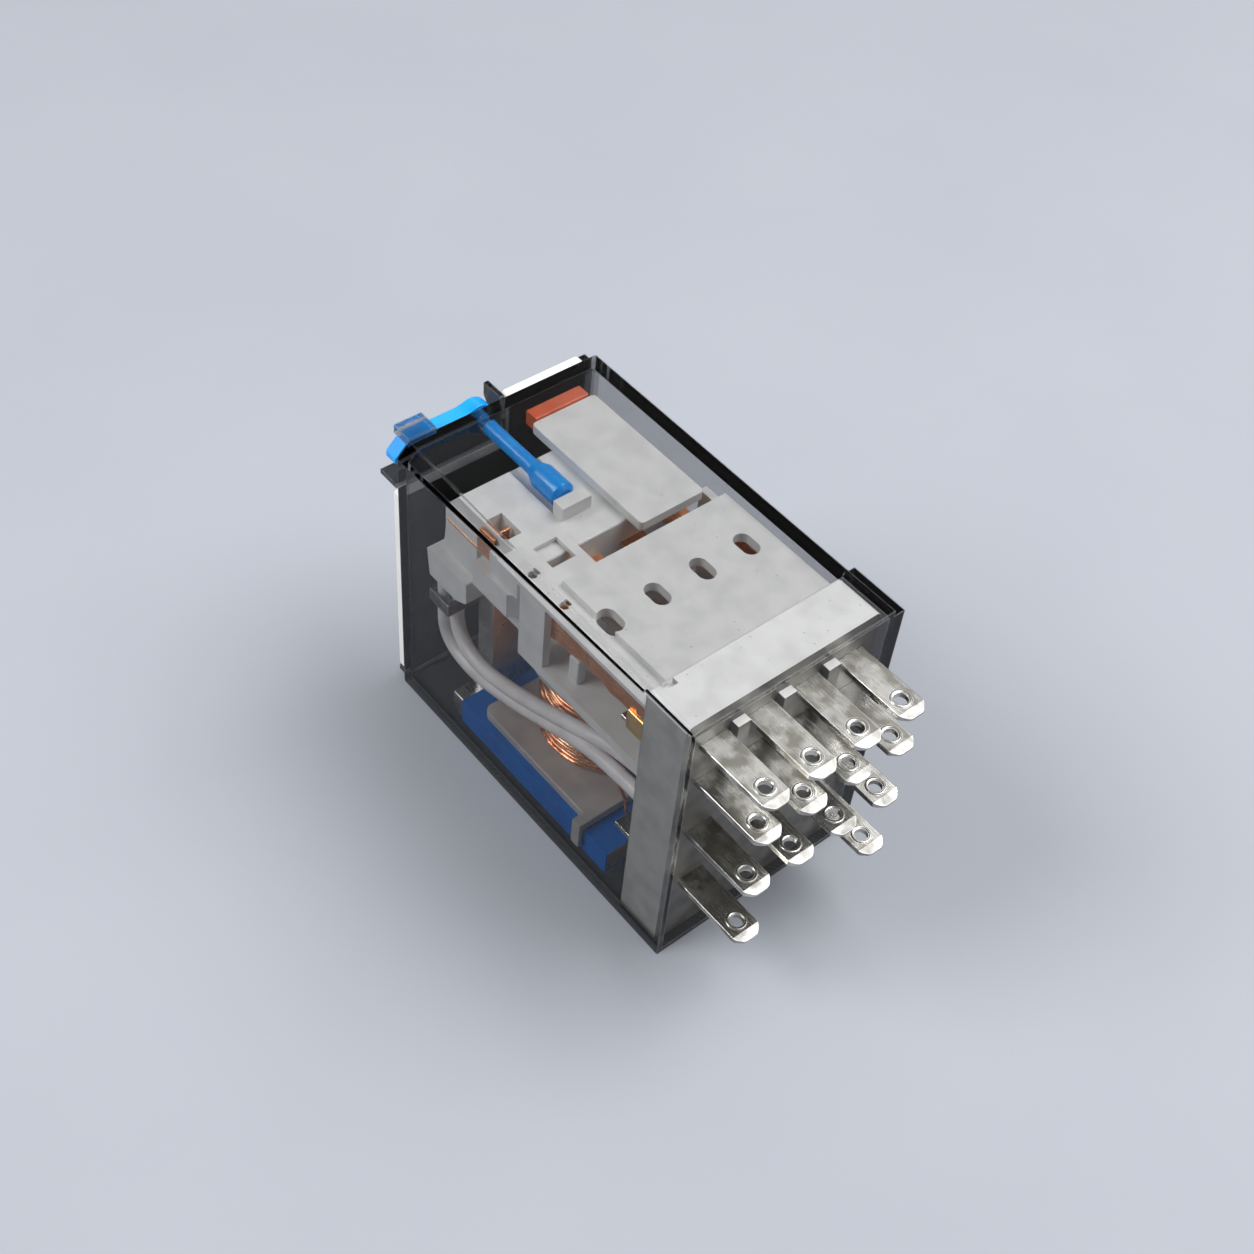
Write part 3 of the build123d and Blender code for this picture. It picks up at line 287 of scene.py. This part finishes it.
def enamelled_copper():
    """Enamelled copper wire: bright warm copper, darker in patches, under a clear coat."""
    material, tree, shader = new_material("enamelled_copper")
    tint = place(tree, CLOUD, Colour=colour(1.0, 0.52, 0.28), Other=colour(0.42, 0.13, 0.055), Scale=900.0)
    wire(tree, tint["Colour"], shader, "Base Color")
    wire(tree, remapped(tree, tint["Mask"], 0.0, 1.0, 0.2, 0.36), shader, "Roughness")
    set_plain(shader, Metallic=1.0, Coat_Weight=0.4, Coat_Roughness=0.15)
    return material


def smoked_clear():
    """Clear polished polycarbonate, smoked through its thickness, with faint smears and rubbed edges."""
    material, tree, shader = new_material("smoked_clear_case")
    set_plain(shader, Metallic=0.0, IOR=1.18, Transmission_Weight=1.0, Specular_Tint=colour(0.5, 0.5, 0.51))
    # The tint darkens thick sections and paints shade where the dark floor and background show through
    wire(tree, place(tree, THICK_AND_SHADED)["Colour"], shader, "Base Color")
    where = object_spot(tree)
    smear = remapped(tree, noise(tree, where, 260.0, detail=5.0, rough=0.6), 0.5, 0.75, 0.01, 0.05)
    rubbed = place(tree, EDGES, Radius=0.2 * MM, Wear=0.7)["Mask"]
    wire(tree, maths(tree, "MAXIMUM", smear, maths(tree, "MULTIPLY", rubbed, 0.6)), shader, "Roughness")
    wire(tree, rubbed, shader, "Coat Weight")
    set_plain(shader, Coat_IOR=2.0, Coat_Roughness=0.06)
    bumped(tree, shader, noise(tree, where, 130.0, detail=1.0), 0.04 * MM, 0.25)
    # Lamps shine through the case, and diffuse light passes it, so that the works inside are lit
    path = node(tree, "LightPath").outputs
    let_through = maths(tree, "MAXIMUM", path["Is Shadow Ray"], path["Is Diffuse Ray"])
    shade = mixed(tree, path["Is Diffuse Ray"], colour(0.95, 0.95, 0.95), colour(0.88, 0.88, 0.88))
    clear = node(tree, "BsdfTransparent", None, Color=shade)
    both = node(tree, "MixShader", None, _0=let_through, _1=shader.outputs["BSDF"], _2=clear.outputs["BSDF"])
    inside = node(tree, "VolumeAbsorption", None, Color=colour(0.1, 0.1, 0.12), Density=400.0)
    output = tree.nodes["Material Output"]
    tree.links.new(both.outputs["Shader"], output.inputs["Surface"])
    tree.links.new(inside.outputs["Volume"], output.inputs["Volume"])
    return material


white_moulding = moulded_plastic("white_moulding", colour(0.8, 0.8, 0.78), colour(0.7, 0.7, 0.69), 0.48)
white_base = moulded_plastic(
    "white_base", colour(0.77, 0.77, 0.76), colour(0.66, 0.66, 0.65), 0.4, dust=0.15, specks=0.16
)
# Face round the blades: part dirt and specks, part painted shade, much darker than the white base
soiled_and_shaded_end = moulded_plastic(
    "soiled_and_shaded_end", colour(0.15, 0.142, 0.13), colour(0.085, 0.08, 0.072), 0.42, dust=0.2, specks=0.3
)
# Painted shade: a greyer copy of the white base, for its side towards -Y
shaded_side = moulded_plastic(
    "shaded_side", colour(0.34, 0.34, 0.33), colour(0.26, 0.26, 0.25), 0.45, dust=0.1, specks=0.1
)
white_plate = moulded_plastic("white_plate", colour(0.82, 0.81, 0.77), colour(0.77, 0.76, 0.72), 0.5)
grey_moulding = moulded_plastic("grey_moulding", colour(0.5, 0.48, 0.46), colour(0.4, 0.385, 0.365), 0.5)
# Painted shade: a dark finish on the marking plate's inner face, for the shade at the case's far end
plate_back_painted_shade = moulded_plastic(
    "plate_back_painted_shade", colour(0.11, 0.11, 0.115), colour(0.08, 0.08, 0.085), 0.8, ior=1.1
)
flag_plastic = moulded_plastic("flag_plastic", colour(0.75, 0.13, 0.04), colour(0.62, 0.1, 0.03), 0.45)
blue_lever = moulded_plastic(
    "blue_lever", colour(0.0, 0.34, 0.9), colour(0.0, 0.27, 0.8), 0.26, dust=0.03, specks=0.02, glow=0.2
)
blue_film = moulded_plastic(
    "blue_film", colour(0.0, 0.15, 0.55), colour(0.0, 0.12, 0.47), 0.25, dust=0.02, specks=0.03, ior=1.08
)
lead_sleeve = moulded_plastic(
    "lead_sleeve", colour(0.84, 0.81, 0.8), colour(0.7, 0.67, 0.66), 0.42, dust=0.1, specks=0.04
)
tinned = bare_metal(
    "tinned_brass", colour(0.62, 0.61, 0.57), colour(0.24, 0.23, 0.2), colour(0.95, 0.94, 0.92), 0.2,
    lines=0.6, wear=0.8, dirt=0.14,
)
tinned_tip = bare_metal(
    "tinned_tip", colour(0.6, 0.59, 0.57), colour(0.36, 0.35, 0.33), colour(0.95, 0.94, 0.92), 0.44,
    lines=0.6, wear=0.8, dirt=0.14,
)
silver = bare_metal(
    "silver_contact", colour(0.8, 0.78, 0.74), colour(0.68, 0.62, 0.52), colour(0.92, 0.9, 0.86), 0.2
)
steel = bare_metal(
    "plated_steel", colour(0.6, 0.6, 0.59), colour(0.48, 0.47, 0.45), colour(0.85, 0.85, 0.84), 0.27
)
dark_steel = bare_metal(
    "dark_steel", colour(0.16, 0.16, 0.16), colour(0.1, 0.1, 0.1), colour(0.6, 0.6, 0.6), 0.3
)
spring_steel = bare_metal(
    "spring_steel", colour(0.5, 0.5, 0.5), colour(0.4, 0.4, 0.4), colour(0.7, 0.7, 0.7), 0.24
)
brass = bare_metal(
    "brass", colour(0.85, 0.58, 0.22), colour(0.5, 0.3, 0.1), colour(1.0, 0.85, 0.55), 0.2, lines=0.5, wear=0.7
)
copper_alloy = bare_metal(
    "copper_alloy", colour(0.76, 0.36, 0.18), colour(0.6, 0.25, 0.12), colour(0.95, 0.62, 0.42), 0.24
)
copper_wire = enamelled_copper()
clear_case = smoked_clear()


# Piece helpers
def finish_piece(piece, body, material=None, nodes=()):
    if material is not None:
        piece.data.materials.clear()
        piece.data.materials.append(material)
    if nodes:
        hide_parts(*nodes)
    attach(piece, body)
    return piece


def new_piece(name, mesh):
    piece = bpy.data.objects.new(name, mesh)
    bpy.context.scene.collection.objects.link(piece)
    return piece


def opened(mesh):
    work = bmesh.new()
    work.from_mesh(mesh)
    return work


def closed(work, mesh):
    work.to_mesh(mesh)
    work.free()
    return mesh


def evaluated_mesh(piece):
    graph = bpy.context.evaluated_depsgraph_get()
    return bpy.data.meshes.new_from_object(piece.evaluated_get(graph))


def baked(piece):
    """The piece with its modifiers applied, as a plain mesh."""
    mesh = evaluated_mesh(piece)
    mesh.name = piece.name
    old = piece.data
    piece.modifiers.clear()
    piece.data = mesh
    bpy.data.meshes.remove(old)
    return piece


def merged_copy(node_name):
    """A copy of a CAD node's mesh, with its loose triangles joined into clean faces."""
    work = opened(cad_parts[node_name].data)
    bmesh.ops.remove_doubles(work, verts=work.verts, dist=1e-7)
    bmesh.ops.dissolve_limit(work, angle_limit=radians(0.5), verts=work.verts, edges=work.edges)
    return closed(work, bpy.data.meshes.new(node_name + "_finish"))


SMOOTH_TURN = 50.0
BROAD = 0.5 * MM


def shaded(mesh):
    """Broad faces shade flat, and narrow ones run smoothly into what they meet at up to the smooth turn."""
    mesh.shade_smooth()
    faces = mesh.polygons
    corners = mesh.vertices
    around = [[] for _ in corners]
    flat = []
    for face in faces:
        ring = [corners[index].co for index in face.vertices]
        girth = sum((ring[step] - ring[step - 1]).length for step in range(len(ring)))
        flat.append(2 * face.area > BROAD * girth)
        for index in face.vertices:
            around[index].append(face.index)
    least = cos(radians(SMOOTH_TURN))
    normals = []
    for face in faces:
        for index in face.vertices:
            if flat[face.index]:
                normals.append(face.normal)
                continue
            near = [faces[other] for other in around[index]]
            total = sum((by.normal * by.area for by in near if by.normal.dot(face.normal) > least), Vector())
            normals.append(total.normalized())
    mesh.normals_split_custom_set(normals)


def rounded_edges(piece, width):
    """Rounds every sharp edge, as moulding, tumbling or polishing leaves it. The width is in millimetres."""
    bevel = piece.modifiers.new("edges", "BEVEL")
    bevel.width = width * MM
    bevel.segments = 2
    bevel.limit_method = "ANGLE"
    bevel.angle_limit = radians(30.0)
    bevel.use_clamp_overlap = True
    return baked(piece)


def softened(node_name, name, width):
    """The node's own shape, with its edges rounded where a width is given."""
    piece = new_piece(name, merged_copy(node_name))
    if width:
        rounded_edges(piece, width)
    shaded(piece.data)
    return piece


def dressed(node_name, name, body, slot, material, width):
    return finish_piece(softened(node_name, name, width), body, material, [node_name])


# Blades: each row's height and each column's place across, in millimetres
ROWS = {"nc": 24.23, "no": 20.13, "com": 13.78, "coil": 7.43}
COLUMNS = [-6.6, -2.2, 2.2, 6.6]
MIDDLE_Y = -0.55
HALF_THICK = 0.25
TIP_LENGTH = 0.8
TIP_RADIUS = 0.22
EYELET_X = 19.98
RING_STEPS = 28
RING_SECTION = [(0.62, -0.02), (0.63, 0.05), (0.68, 0.075), (0.78, 0.075), (0.84, 0.04), (0.86, -0.02)]


def round_tip(mesh):
    """Rounds the upright edges at a blade's tip."""
    work = opened(mesh)
    reach = max(corner.co.x for corner in work.verts) - 0.85 * MM
    upright = []
    for edge in work.edges:
        run = edge.verts[1].co - edge.verts[0].co
        if min(corner.co.x for corner in edge.verts) > reach and abs(run.z) > 0.95 * run.length:
            upright.append(edge)
    if upright:
        bmesh.ops.bevel(work, geom=upright, offset=TIP_RADIUS * MM, segments=3, profile=0.5, affect="EDGES")
    closed(work, mesh)


def press_rings(mesh, y, z):
    """Adds the raised ring round the eyelet, above and below."""
    work = opened(mesh)
    added = []
    for side in (-1, 1):
        rings = []
        for step in range(RING_STEPS):
            turn = radians(360.0 * step / RING_STEPS)
            ring = []
            for r, up in RING_SECTION:
                spot = (EYELET_X + r * cos(turn), y + r * sin(turn), z + side * (HALF_THICK + up))
                ring.append(work.verts.new([value * MM for value in spot]))
            rings.append(ring)
        for step in range(RING_STEPS):
            first, second = rings[step - 1], rings[step]
            for corner in range(len(RING_SECTION)):
                loop = (first[corner - 1], first[corner], second[corner], second[corner - 1])
                added.append(work.faces.new(loop))
    bmesh.ops.recalc_face_normals(work, faces=added)
    closed(work, mesh)


def blade(row, number, column):
    """One tinned blade with a rounded, duller tip and pressed rings."""
    node_name = f"{row}_terminal_{number}"
    piece = new_piece(f"{row}_blade_{number}", merged_copy(node_name))
    round_tip(piece.data)
    rounded_edges(piece, 0.07)
    piece.data.materials.append(tinned)
    piece.data.materials.append(tinned_tip)
    tip = max(corner.co.x for corner in piece.data.vertices) - TIP_LENGTH * MM
    for face in piece.data.polygons:
        face.material_index = int(face.center.x > tip)
    press_rings(piece.data, COLUMNS[column] + MIDDLE_Y, ROWS[row])
    shaded(piece.data)
    finish_piece(piece, ROOT, nodes=[node_name])


# Wound wire
GEOMETRY = "GeometryNode"


def wound_wire_tree():
    """Round wire wound into a coil that stands on its centre, with turns that wander a little."""
    tree = bpy.data.node_groups.new("wound wire", "GeometryNodeTree")
    tree.interface.new_socket("Geometry", in_out="OUTPUT", socket_type="NodeSocketGeometry")
    sizes = {"Turns": 60.0, "Radius": 6.0 * MM, "Height": 9.0 * MM, "Wire": 0.08 * MM, "Wander": 0.05 * MM}
    for label, value in sizes.items():
        tree.interface.new_socket(label, in_out="INPUT", socket_type=NUMBER).default_value = value
    tree.interface.new_socket("Centre", in_out="INPUT", socket_type="NodeSocketVector")
    tree.interface.new_socket("Finish", in_out="INPUT", socket_type="NodeSocketMaterial")
    given = tree.nodes.new("NodeGroupInput").outputs
    spiral = node(
        tree, "CurveSpiral", None, GEOMETRY, Resolution=56, Rotations=given["Turns"],
        Start_Radius=given["Radius"], End_Radius=given["Radius"], Height=given["Height"],
    ).outputs[0]
    where = node(tree, "InputPosition", None, GEOMETRY).outputs[0]
    drift = node(tree, "TexNoise", None, Vector=where, Scale=900.0, Detail=1.0).outputs["Color"]
    centred = node(tree, "VectorMath", {"operation": "SUBTRACT"}, _0=drift, _1=(0.5, 0.5, 0.5)).outputs[0]
    offset = node(tree, "VectorMath", {"operation": "SCALE"}, _0=centred, Scale=given["Wander"]).outputs[0]
    wandering = node(tree, "SetPosition", None, GEOMETRY, Geometry=spiral, Offset=offset).outputs[0]
    section = node(tree, "CurvePrimitiveCircle", None, GEOMETRY, Resolution=6, Radius=given["Wire"]).outputs[0]
    wire_mesh = node(
        tree, "CurveToMesh", None, GEOMETRY, Curve=wandering, Profile_Curve=section, Fill_Caps=True
    ).outputs[0]
    placed = node(tree, "Transform", None, GEOMETRY, Geometry=wire_mesh, Translation=given["Centre"]).outputs[0]
    smooth = node(tree, "SetShadeSmooth", None, GEOMETRY, Geometry=placed).outputs[0]
    real = node(tree, "RealizeInstances", None, GEOMETRY, Geometry=smooth).outputs[0]
    finished = node(tree, "SetMaterial", None, GEOMETRY, Geometry=real, Material=given["Finish"]).outputs[0]
    tree.links.new(finished, tree.nodes.new("NodeGroupOutput").inputs[0])
    return tree


WOUND_WIRE = wound_wire_tree()


def wound(name, **sizes):
    """A plain mesh from the wound wire tree."""
    piece = new_piece(name, bpy.data.meshes.new(name))
    rule = piece.modifiers.new("wound wire", "NODES")
    rule.node_group = WOUND_WIRE
    for item in WOUND_WIRE.interface.items_tree:
        if item.in_out == "INPUT" and item.name in sizes:
            rule[item.identifier] = sizes[item.name]
    return baked(piece)


def joined(name, pieces):
    """One piece from several, each in its own place and with its own material."""
    work = bmesh.new()
    materials = []
    for piece in pieces:
        first = len(work.faces)
        work.from_mesh(piece.data)
        work.faces.ensure_lookup_table()
        for face in work.faces[first:]:
            face.material_index = len(materials)
        materials.append(piece.data.materials[0])
        bpy.data.objects.remove(piece)
    mesh = closed(work, bpy.data.meshes.new(name))
    for material in materials:
        mesh.materials.append(material)
    return new_piece(name, mesh)


def wind_coil():
    """The winding: close outer turns, some strands that cross them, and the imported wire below."""
    low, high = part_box("coil_winding")
    wire_r = 0.2 * MM
    middle = Vector(((low[0] + high[0]) / 2, (low[1] + high[1]) / 2, low[2] + wire_r))
    radius, height = (high[0] - low[0]) / 2 - wire_r, high[2] - low[2] - 2 * wire_r
    sizes = {"Height": height, "Wire": wire_r, "Centre": middle, "Finish": copper_wire}
    close = wound("close_turns", Turns=22.0, Radius=radius - 1.1 * wire_r, Wander=0.2 * MM, **sizes)
    crossing = wound("crossing_turns", Turns=7.3, Radius=radius - 0.3 * wire_r, Wander=0.5 * MM, **sizes)
    packed = softened("coil_winding", "packed_wire", 0.05)
    for corner in packed.data.vertices:
        flat = Vector((corner.co.x - middle.x, corner.co.y - middle.y, 0.0))
        if flat.length > radius - 2 * wire_r:
            corner.co -= flat.normalized() * 2 * wire_r
    packed.data.materials.append(copper_wire)
    turns = joined("coil_turns", [close, crossing, packed])
    finish_piece(turns, ROOT, nodes=["coil_winding"])


def wire_curve(name, points, radius, material):
    """A round wire or lead along a smooth line, in millimetres."""
    line = bpy.data.curves.new(name, "CURVE")
    line.dimensions = "3D"
    line.bevel_depth = radius * MM
    line.bevel_resolution = 4
    line.resolution_u = 10
    line.use_fill_caps = True
    spline = line.splines.new("NURBS")
    spline.points.add(len(points) - 1)
    for point, spot in zip(spline.points, points):
        point.co = (*(value * MM for value in spot), 1.0)
    spline.order_u = 3
    spline.use_endpoint_u = True
    line.materials.append(material)
    guide = new_piece(name, line)
    mesh = evaluated_mesh(guide)
    bpy.data.objects.remove(guide)
    mesh.shade_smooth()
    return new_piece(name, mesh)


def wind_return_spring():
    """The return spring: close turns between two bent ends."""
    low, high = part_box("return_spring")
    radius, wire_r, end = 0.8 * MM, 0.15 * MM, 1.6 * MM
    middle = Vector(((low[0] + high[0]) / 2, (low[1] + high[1]) / 2, low[2] + end))
    turns = wound(
        "spring_turns", Turns=14.0, Radius=radius, Height=high[2] - low[2] - 2 * end, Wire=wire_r, Wander=0.0,
        Centre=middle, Finish=spring_steel,
    )
    x, y = middle.x / MM, middle.y / MM
    bottom, top, r = low[2] / MM, high[2] / MM, radius / MM
    pieces = [turns]
    for label, inner, outer in (("low", bottom + end / MM, bottom), ("high", top - end / MM, top)):
        bend = (inner + outer) / 2
        spots = [(x + r, y, inner), (x + r, y + 0.4, bend), (x, y, bend), (x, y, outer)]
        pieces.append(wire_curve(f"spring_end_{label}", spots, wire_r / MM, spring_steel))
    spring = joined("return_coil_spring", pieces)
    finish_piece(spring, ROOT, nodes=["return_spring"])


# Each lead's line from the carrier's skirt down and along to the base: along, out from the middle, up
OUTER_LINE = [
    (-15.1, 7.9, 17.6), (-15.2, 7.9, 13.6), (-15.0, 8.0, 9.4), (-11.6, 8.0, 8.1),
    (-6.0, 8.0, 9.4), (1.4, 7.9, 12.4), (5.6, 7.9, 13.7), (10.4, 7.9, 13.78),
]
INNER_LINE = [
    (-14.5, 6.8, 17.6), (-14.5, 6.9, 14.6), (-14.2, 7.6, 10.9), (-10.8, 8.0, 9.4),
    (-5.2, 8.0, 10.9), (2.0, 7.8, 13.8), (6.2, 7.0, 14.9), (10.4, 6.8, 14.88),
]
LEAD_RADIUS = 0.62
SIDES = (("left", -1), ("right", 1))


def route_leads():
    for row, line in (("outer", OUTER_LINE), ("inner", INNER_LINE)):
        for label, side in SIDES:
            spots = [(along, MIDDLE_Y + side * out, up) for along, out, up in line]
            piece = wire_curve(f"{row}_lead_{label}_sleeve", spots, LEAD_RADIUS, lead_sleeve)
            finish_piece(piece, ROOT, nodes=[f"{row}_lead_{label}"])


# Small parts in the contact frame's open sides
def small_block(name, side, low, high, edge):
    """A block with rounded edges on one side. Its corners go along, out from the middle and up."""
    near, far = sorted((MIDDLE_Y + side * low[1], MIDDLE_Y + side * high[1]))
    low, high = (low[0], near, low[2]), (high[0], far, high[2])
    work = bmesh.new()
    bmesh.ops.create_cube(work, size=1.0)
    for corner in work.verts:
        corner.co = Vector((low[i] + (corner.co[i] + 0.5) * (high[i] - low[i])) * MM for i in range(3))
    bmesh.ops.bevel(work, geom=work.edges[:], offset=edge * MM, segments=2, profile=0.5, affect="EDGES")
    piece = new_piece(name, closed(work, bpy.data.meshes.new(name)))
    shaded(piece.data)
    return piece


def side_strap(name, side):
    """A pressed copper strap that runs inside the frame's open side, with a crimp along it."""
    start, length, steps = -1.2, 11.5, 36
    inner, outer = 7.95, 8.08
    work = bmesh.new()
    rings = []
    for step in range(steps + 1):
        part = step / steps
        crimp = 0.12 * cos(9.0 * part) + 0.05 * cos(31.0 * part)
        low, high = 21.7 + 0.5 * part, 24.35 - 0.15 * part
        ring = []
        for out, up in ((inner, low), (outer, low), (outer, high), (inner, high)):
            spot = (start + length * part, MIDDLE_Y + side * (out + crimp), up)
            ring.append(work.verts.new([value * MM for value in spot]))
        rings.append(ring)
    for first, second in zip(rings, rings[1:]):
        for corner in range(4):
            after = (corner + 1) % 4
            work.faces.new((first[corner], first[after], second[after], second[corner]))
    work.faces.new(rings[0][::-1])
    work.faces.new(rings[-1])
    bmesh.ops.recalc_face_normals(work, faces=work.faces)
    mesh = closed(work, bpy.data.meshes.new(name))
    mesh.shade_smooth()
    mesh.set_sharp_from_angle(angle=radians(40.0))
    return new_piece(name, mesh)


def small_parts():
    """On each side a strap with its crimp and rolled end, and a peg on the frame's floor."""
    for label, side in SIDES:
        finish_piece(side_strap(f"side_strap_{label}", side), ROOT, copper_alloy)
        peg = small_block(f"floor_peg_{label}", side, (0.6, 7.0, 18.6), (1.8, 7.9, 21.2), 0.2)
        finish_piece(peg, ROOT, white_moulding)
        crimp = small_block(f"strap_crimp_{label}", side, (7.9, 7.9, 20.4), (9.9, 8.45, 22.5), 0.16)
        finish_piece(crimp, ROOT, brass)
        roll = small_block(f"strap_roll_{label}", side, (8.7, 7.9, 22.6), (10.2, 8.42, 24.5), 0.3)
        finish_piece(roll, ROOT, copper_alloy)


# Pieces with more than one finish
FACING = 0.9


def marking_plate():
    """The white plate on the far end, with its top edge drawn up to the rail and its back darkened as painted
    shade.
    """
    plate = dressed("marker_plate", "marking_plate", ROOT, "white_plate", white_plate, 0.1)
    for corner in plate.data.vertices:
        if corner.co.z > 26.5 * MM:
            corner.co.z += 0.55 * MM
    plate.data.materials.append(plate_back_painted_shade)
    # The face towards +X, inside the case, takes the painted shade finish
    for face in plate.data.polygons:
        if face.normal.x > FACING:
            face.material_index = 1


def terminal_base():
    """The white base: its face round the blades darker with dirt and painted shade, its side behind the case greyer
    with painted shade.
    """
    base = new_piece("terminal_base", merged_copy("base"))
    rounded_edges(base, 0.12)
    for finish in (white_base, soiled_and_shaded_end, shaded_side):
        base.data.materials.append(finish)
    # Faces towards the blades take the dirt and painted shade finish, faces towards -Y the painted shade finish
    for face in base.data.polygons:
        if face.normal.x > FACING:
            face.material_index = 1
        elif face.normal.y < -FACING:
            face.material_index = 2
    shaded(base.data)
    finish_piece(base, ROOT, nodes=["base"])


# The works, each with its node, its name, its body, its slot, its material and its edges' rounding
WORKS = [
    ("contact_carrier", "moving_carrier", ROCKER, "white_plastic", white_moulding, 0.1),
    ("indicator_arm", "flag_arm", ROCKER, "white_plastic", white_moulding, 0.08),
    ("indicator_flag", "status_flag", ROCKER, "orange_red_plastic", flag_plastic, 0.08),
    ("contact_frame", "fixed_contact_frame", ROOT, "white_plastic", white_moulding, 0.08),
    ("bobbin", "coil_bobbin", ROOT, "grey_plastic", grey_moulding, 0.1),
    ("yoke", "magnet_yoke", ROOT, "plated_steel", steel, 0.1),
    ("yoke_film", "yoke_film_jacket", ROOT, "blue_film", blue_film, 0.04),
    ("core", "magnet_core", ROOT, "plated_steel", steel, 0.05),
    ("armature", "rocking_armature", ROCKER, "plated_steel", steel, 0.08),
    ("lead_clamp", "lead_clip", ROOT, "dark_steel", dark_steel, 0.05),
    ("nc_contacts", "upper_rivets", ROOT, "silver", silver, 0.05),
    ("no_contacts", "lower_rivets", ROOT, "silver", silver, 0.05),
    ("moving_contacts", "moving_rivets", ROCKER, "silver", silver, 0.05),
]

dressed("cover", "clear_case", ROOT, "clear_smoked", clear_case, 0.12)
small_parts()
marking_plate()
dressed("test_lever", "blue_test_lever", LEVER, "blue_plastic", blue_lever, 0.12)
terminal_base()
for work_piece in WORKS:
    dressed(*work_piece)
for number in (1, 2, 3, 4):
    dressed(f"contact_spring_{number}", f"spring_strip_{number}", ROCKER, "copper_alloy", copper_alloy, 0.04)
for row in ("nc", "no", "com"):
    for column in range(len(COLUMNS)):
        blade(row, column + 1, column)
blade("coil", 1, 0)
blade("coil", 2, 3)
route_leads()
dressed("coil_wires", "coil_tails", ROOT, "copper_wire", copper_wire, 0)
wind_coil()
wind_return_spring()


# Floor, camera and light
def pale_floor():
    material, tree, shader = new_material("pale_floor")
    main, other = colour(0.36, 0.38, 0.42), colour(0.345, 0.365, 0.405)
    tint = place(tree, CLOUD, Colour=main, Other=other, Scale=30.0, Low=0.3, High=0.7)
    wire(tree, tint["Colour"], shader, "Base Color")
    set_plain(shader, Roughness=0.7)
    mesh = bpy.data.meshes.new("floor")
    half = 4.0
    mesh.from_pydata([(-half, -half, 0), (half, -half, 0), (half, half, 0), (-half, half, 0)], [], [(0, 1, 2, 3)])
    floor = new_piece("floor", mesh)
    floor.data.materials.append(material)


def photo_camera():
    """The camera at the photograph's place, turn and lens."""
    camera_data = bpy.data.cameras.new("camera")
    camera_data.lens = 50.736
    camera_data.sensor_width = 36.0
    camera_data.clip_start = 0.01
    camera_data.clip_end = 10.0
    camera = bpy.data.objects.new("camera", camera_data)
    # The turn's axis times its angle, and the object's place before the camera, in millimetres
    turn = Vector((2.18537714, 1.07157353, -0.319044143))
    before = Vector((9.89913296, 21.5412210, 143.762678))
    frame_shift = Vector((15.45, -0.55, 0.0))
    to_camera = Matrix.Rotation(turn.length, 3, turn.normalized())
    back = to_camera.transposed() @ Matrix.Diagonal((1, -1, -1))
    spot = frame_shift - to_camera.transposed() @ before
    camera.matrix_world = Matrix.Translation(spot * MM) @ back.to_4x4()
    bpy.context.scene.collection.objects.link(camera)
    bpy.context.scene.camera = camera


def soft_lamp(name, spot, size, power):
    lamp_data = bpy.data.lights.new(name, "AREA")
    lamp_data.shape = "RECTANGLE"
    lamp_data.size, lamp_data.size_y = size
    lamp_data.energy = power
    lamp = bpy.data.objects.new(name, lamp_data)
    towards = (-Vector(spot)).to_track_quat("-Z", "Y").to_matrix().to_4x4()
    lamp.matrix_world = Matrix.Translation(spot) @ towards
    bpy.context.scene.collection.objects.link(lamp)


def plain_world():
    world = bpy.data.worlds.new("studio")
    world.use_nodes = True
    background = world.node_tree.nodes["Background"]
    background.inputs["Color"].default_value = colour(0.92, 0.95, 1.0)
    background.inputs["Strength"].default_value = 0.28
    bpy.context.scene.world = world


pale_floor()
photo_camera()
plain_world()
soft_lamp("key_lamp", (0.13, 0.24, 0.44), (0.4, 0.34), 2.9)
soft_lamp("back_lamp", (-0.16, 0.24, 0.36), (0.34, 0.26), 0.16)
soft_lamp("fill_lamp", (-0.2, -0.32, 0.36), (0.25, 0.25), 2.0)
soft_lamp("edge_lamp", (-0.23, -0.43, 0.09), (0.3, 0.06), 0.12)
bpy.context.scene.view_settings.view_transform = "Standard"
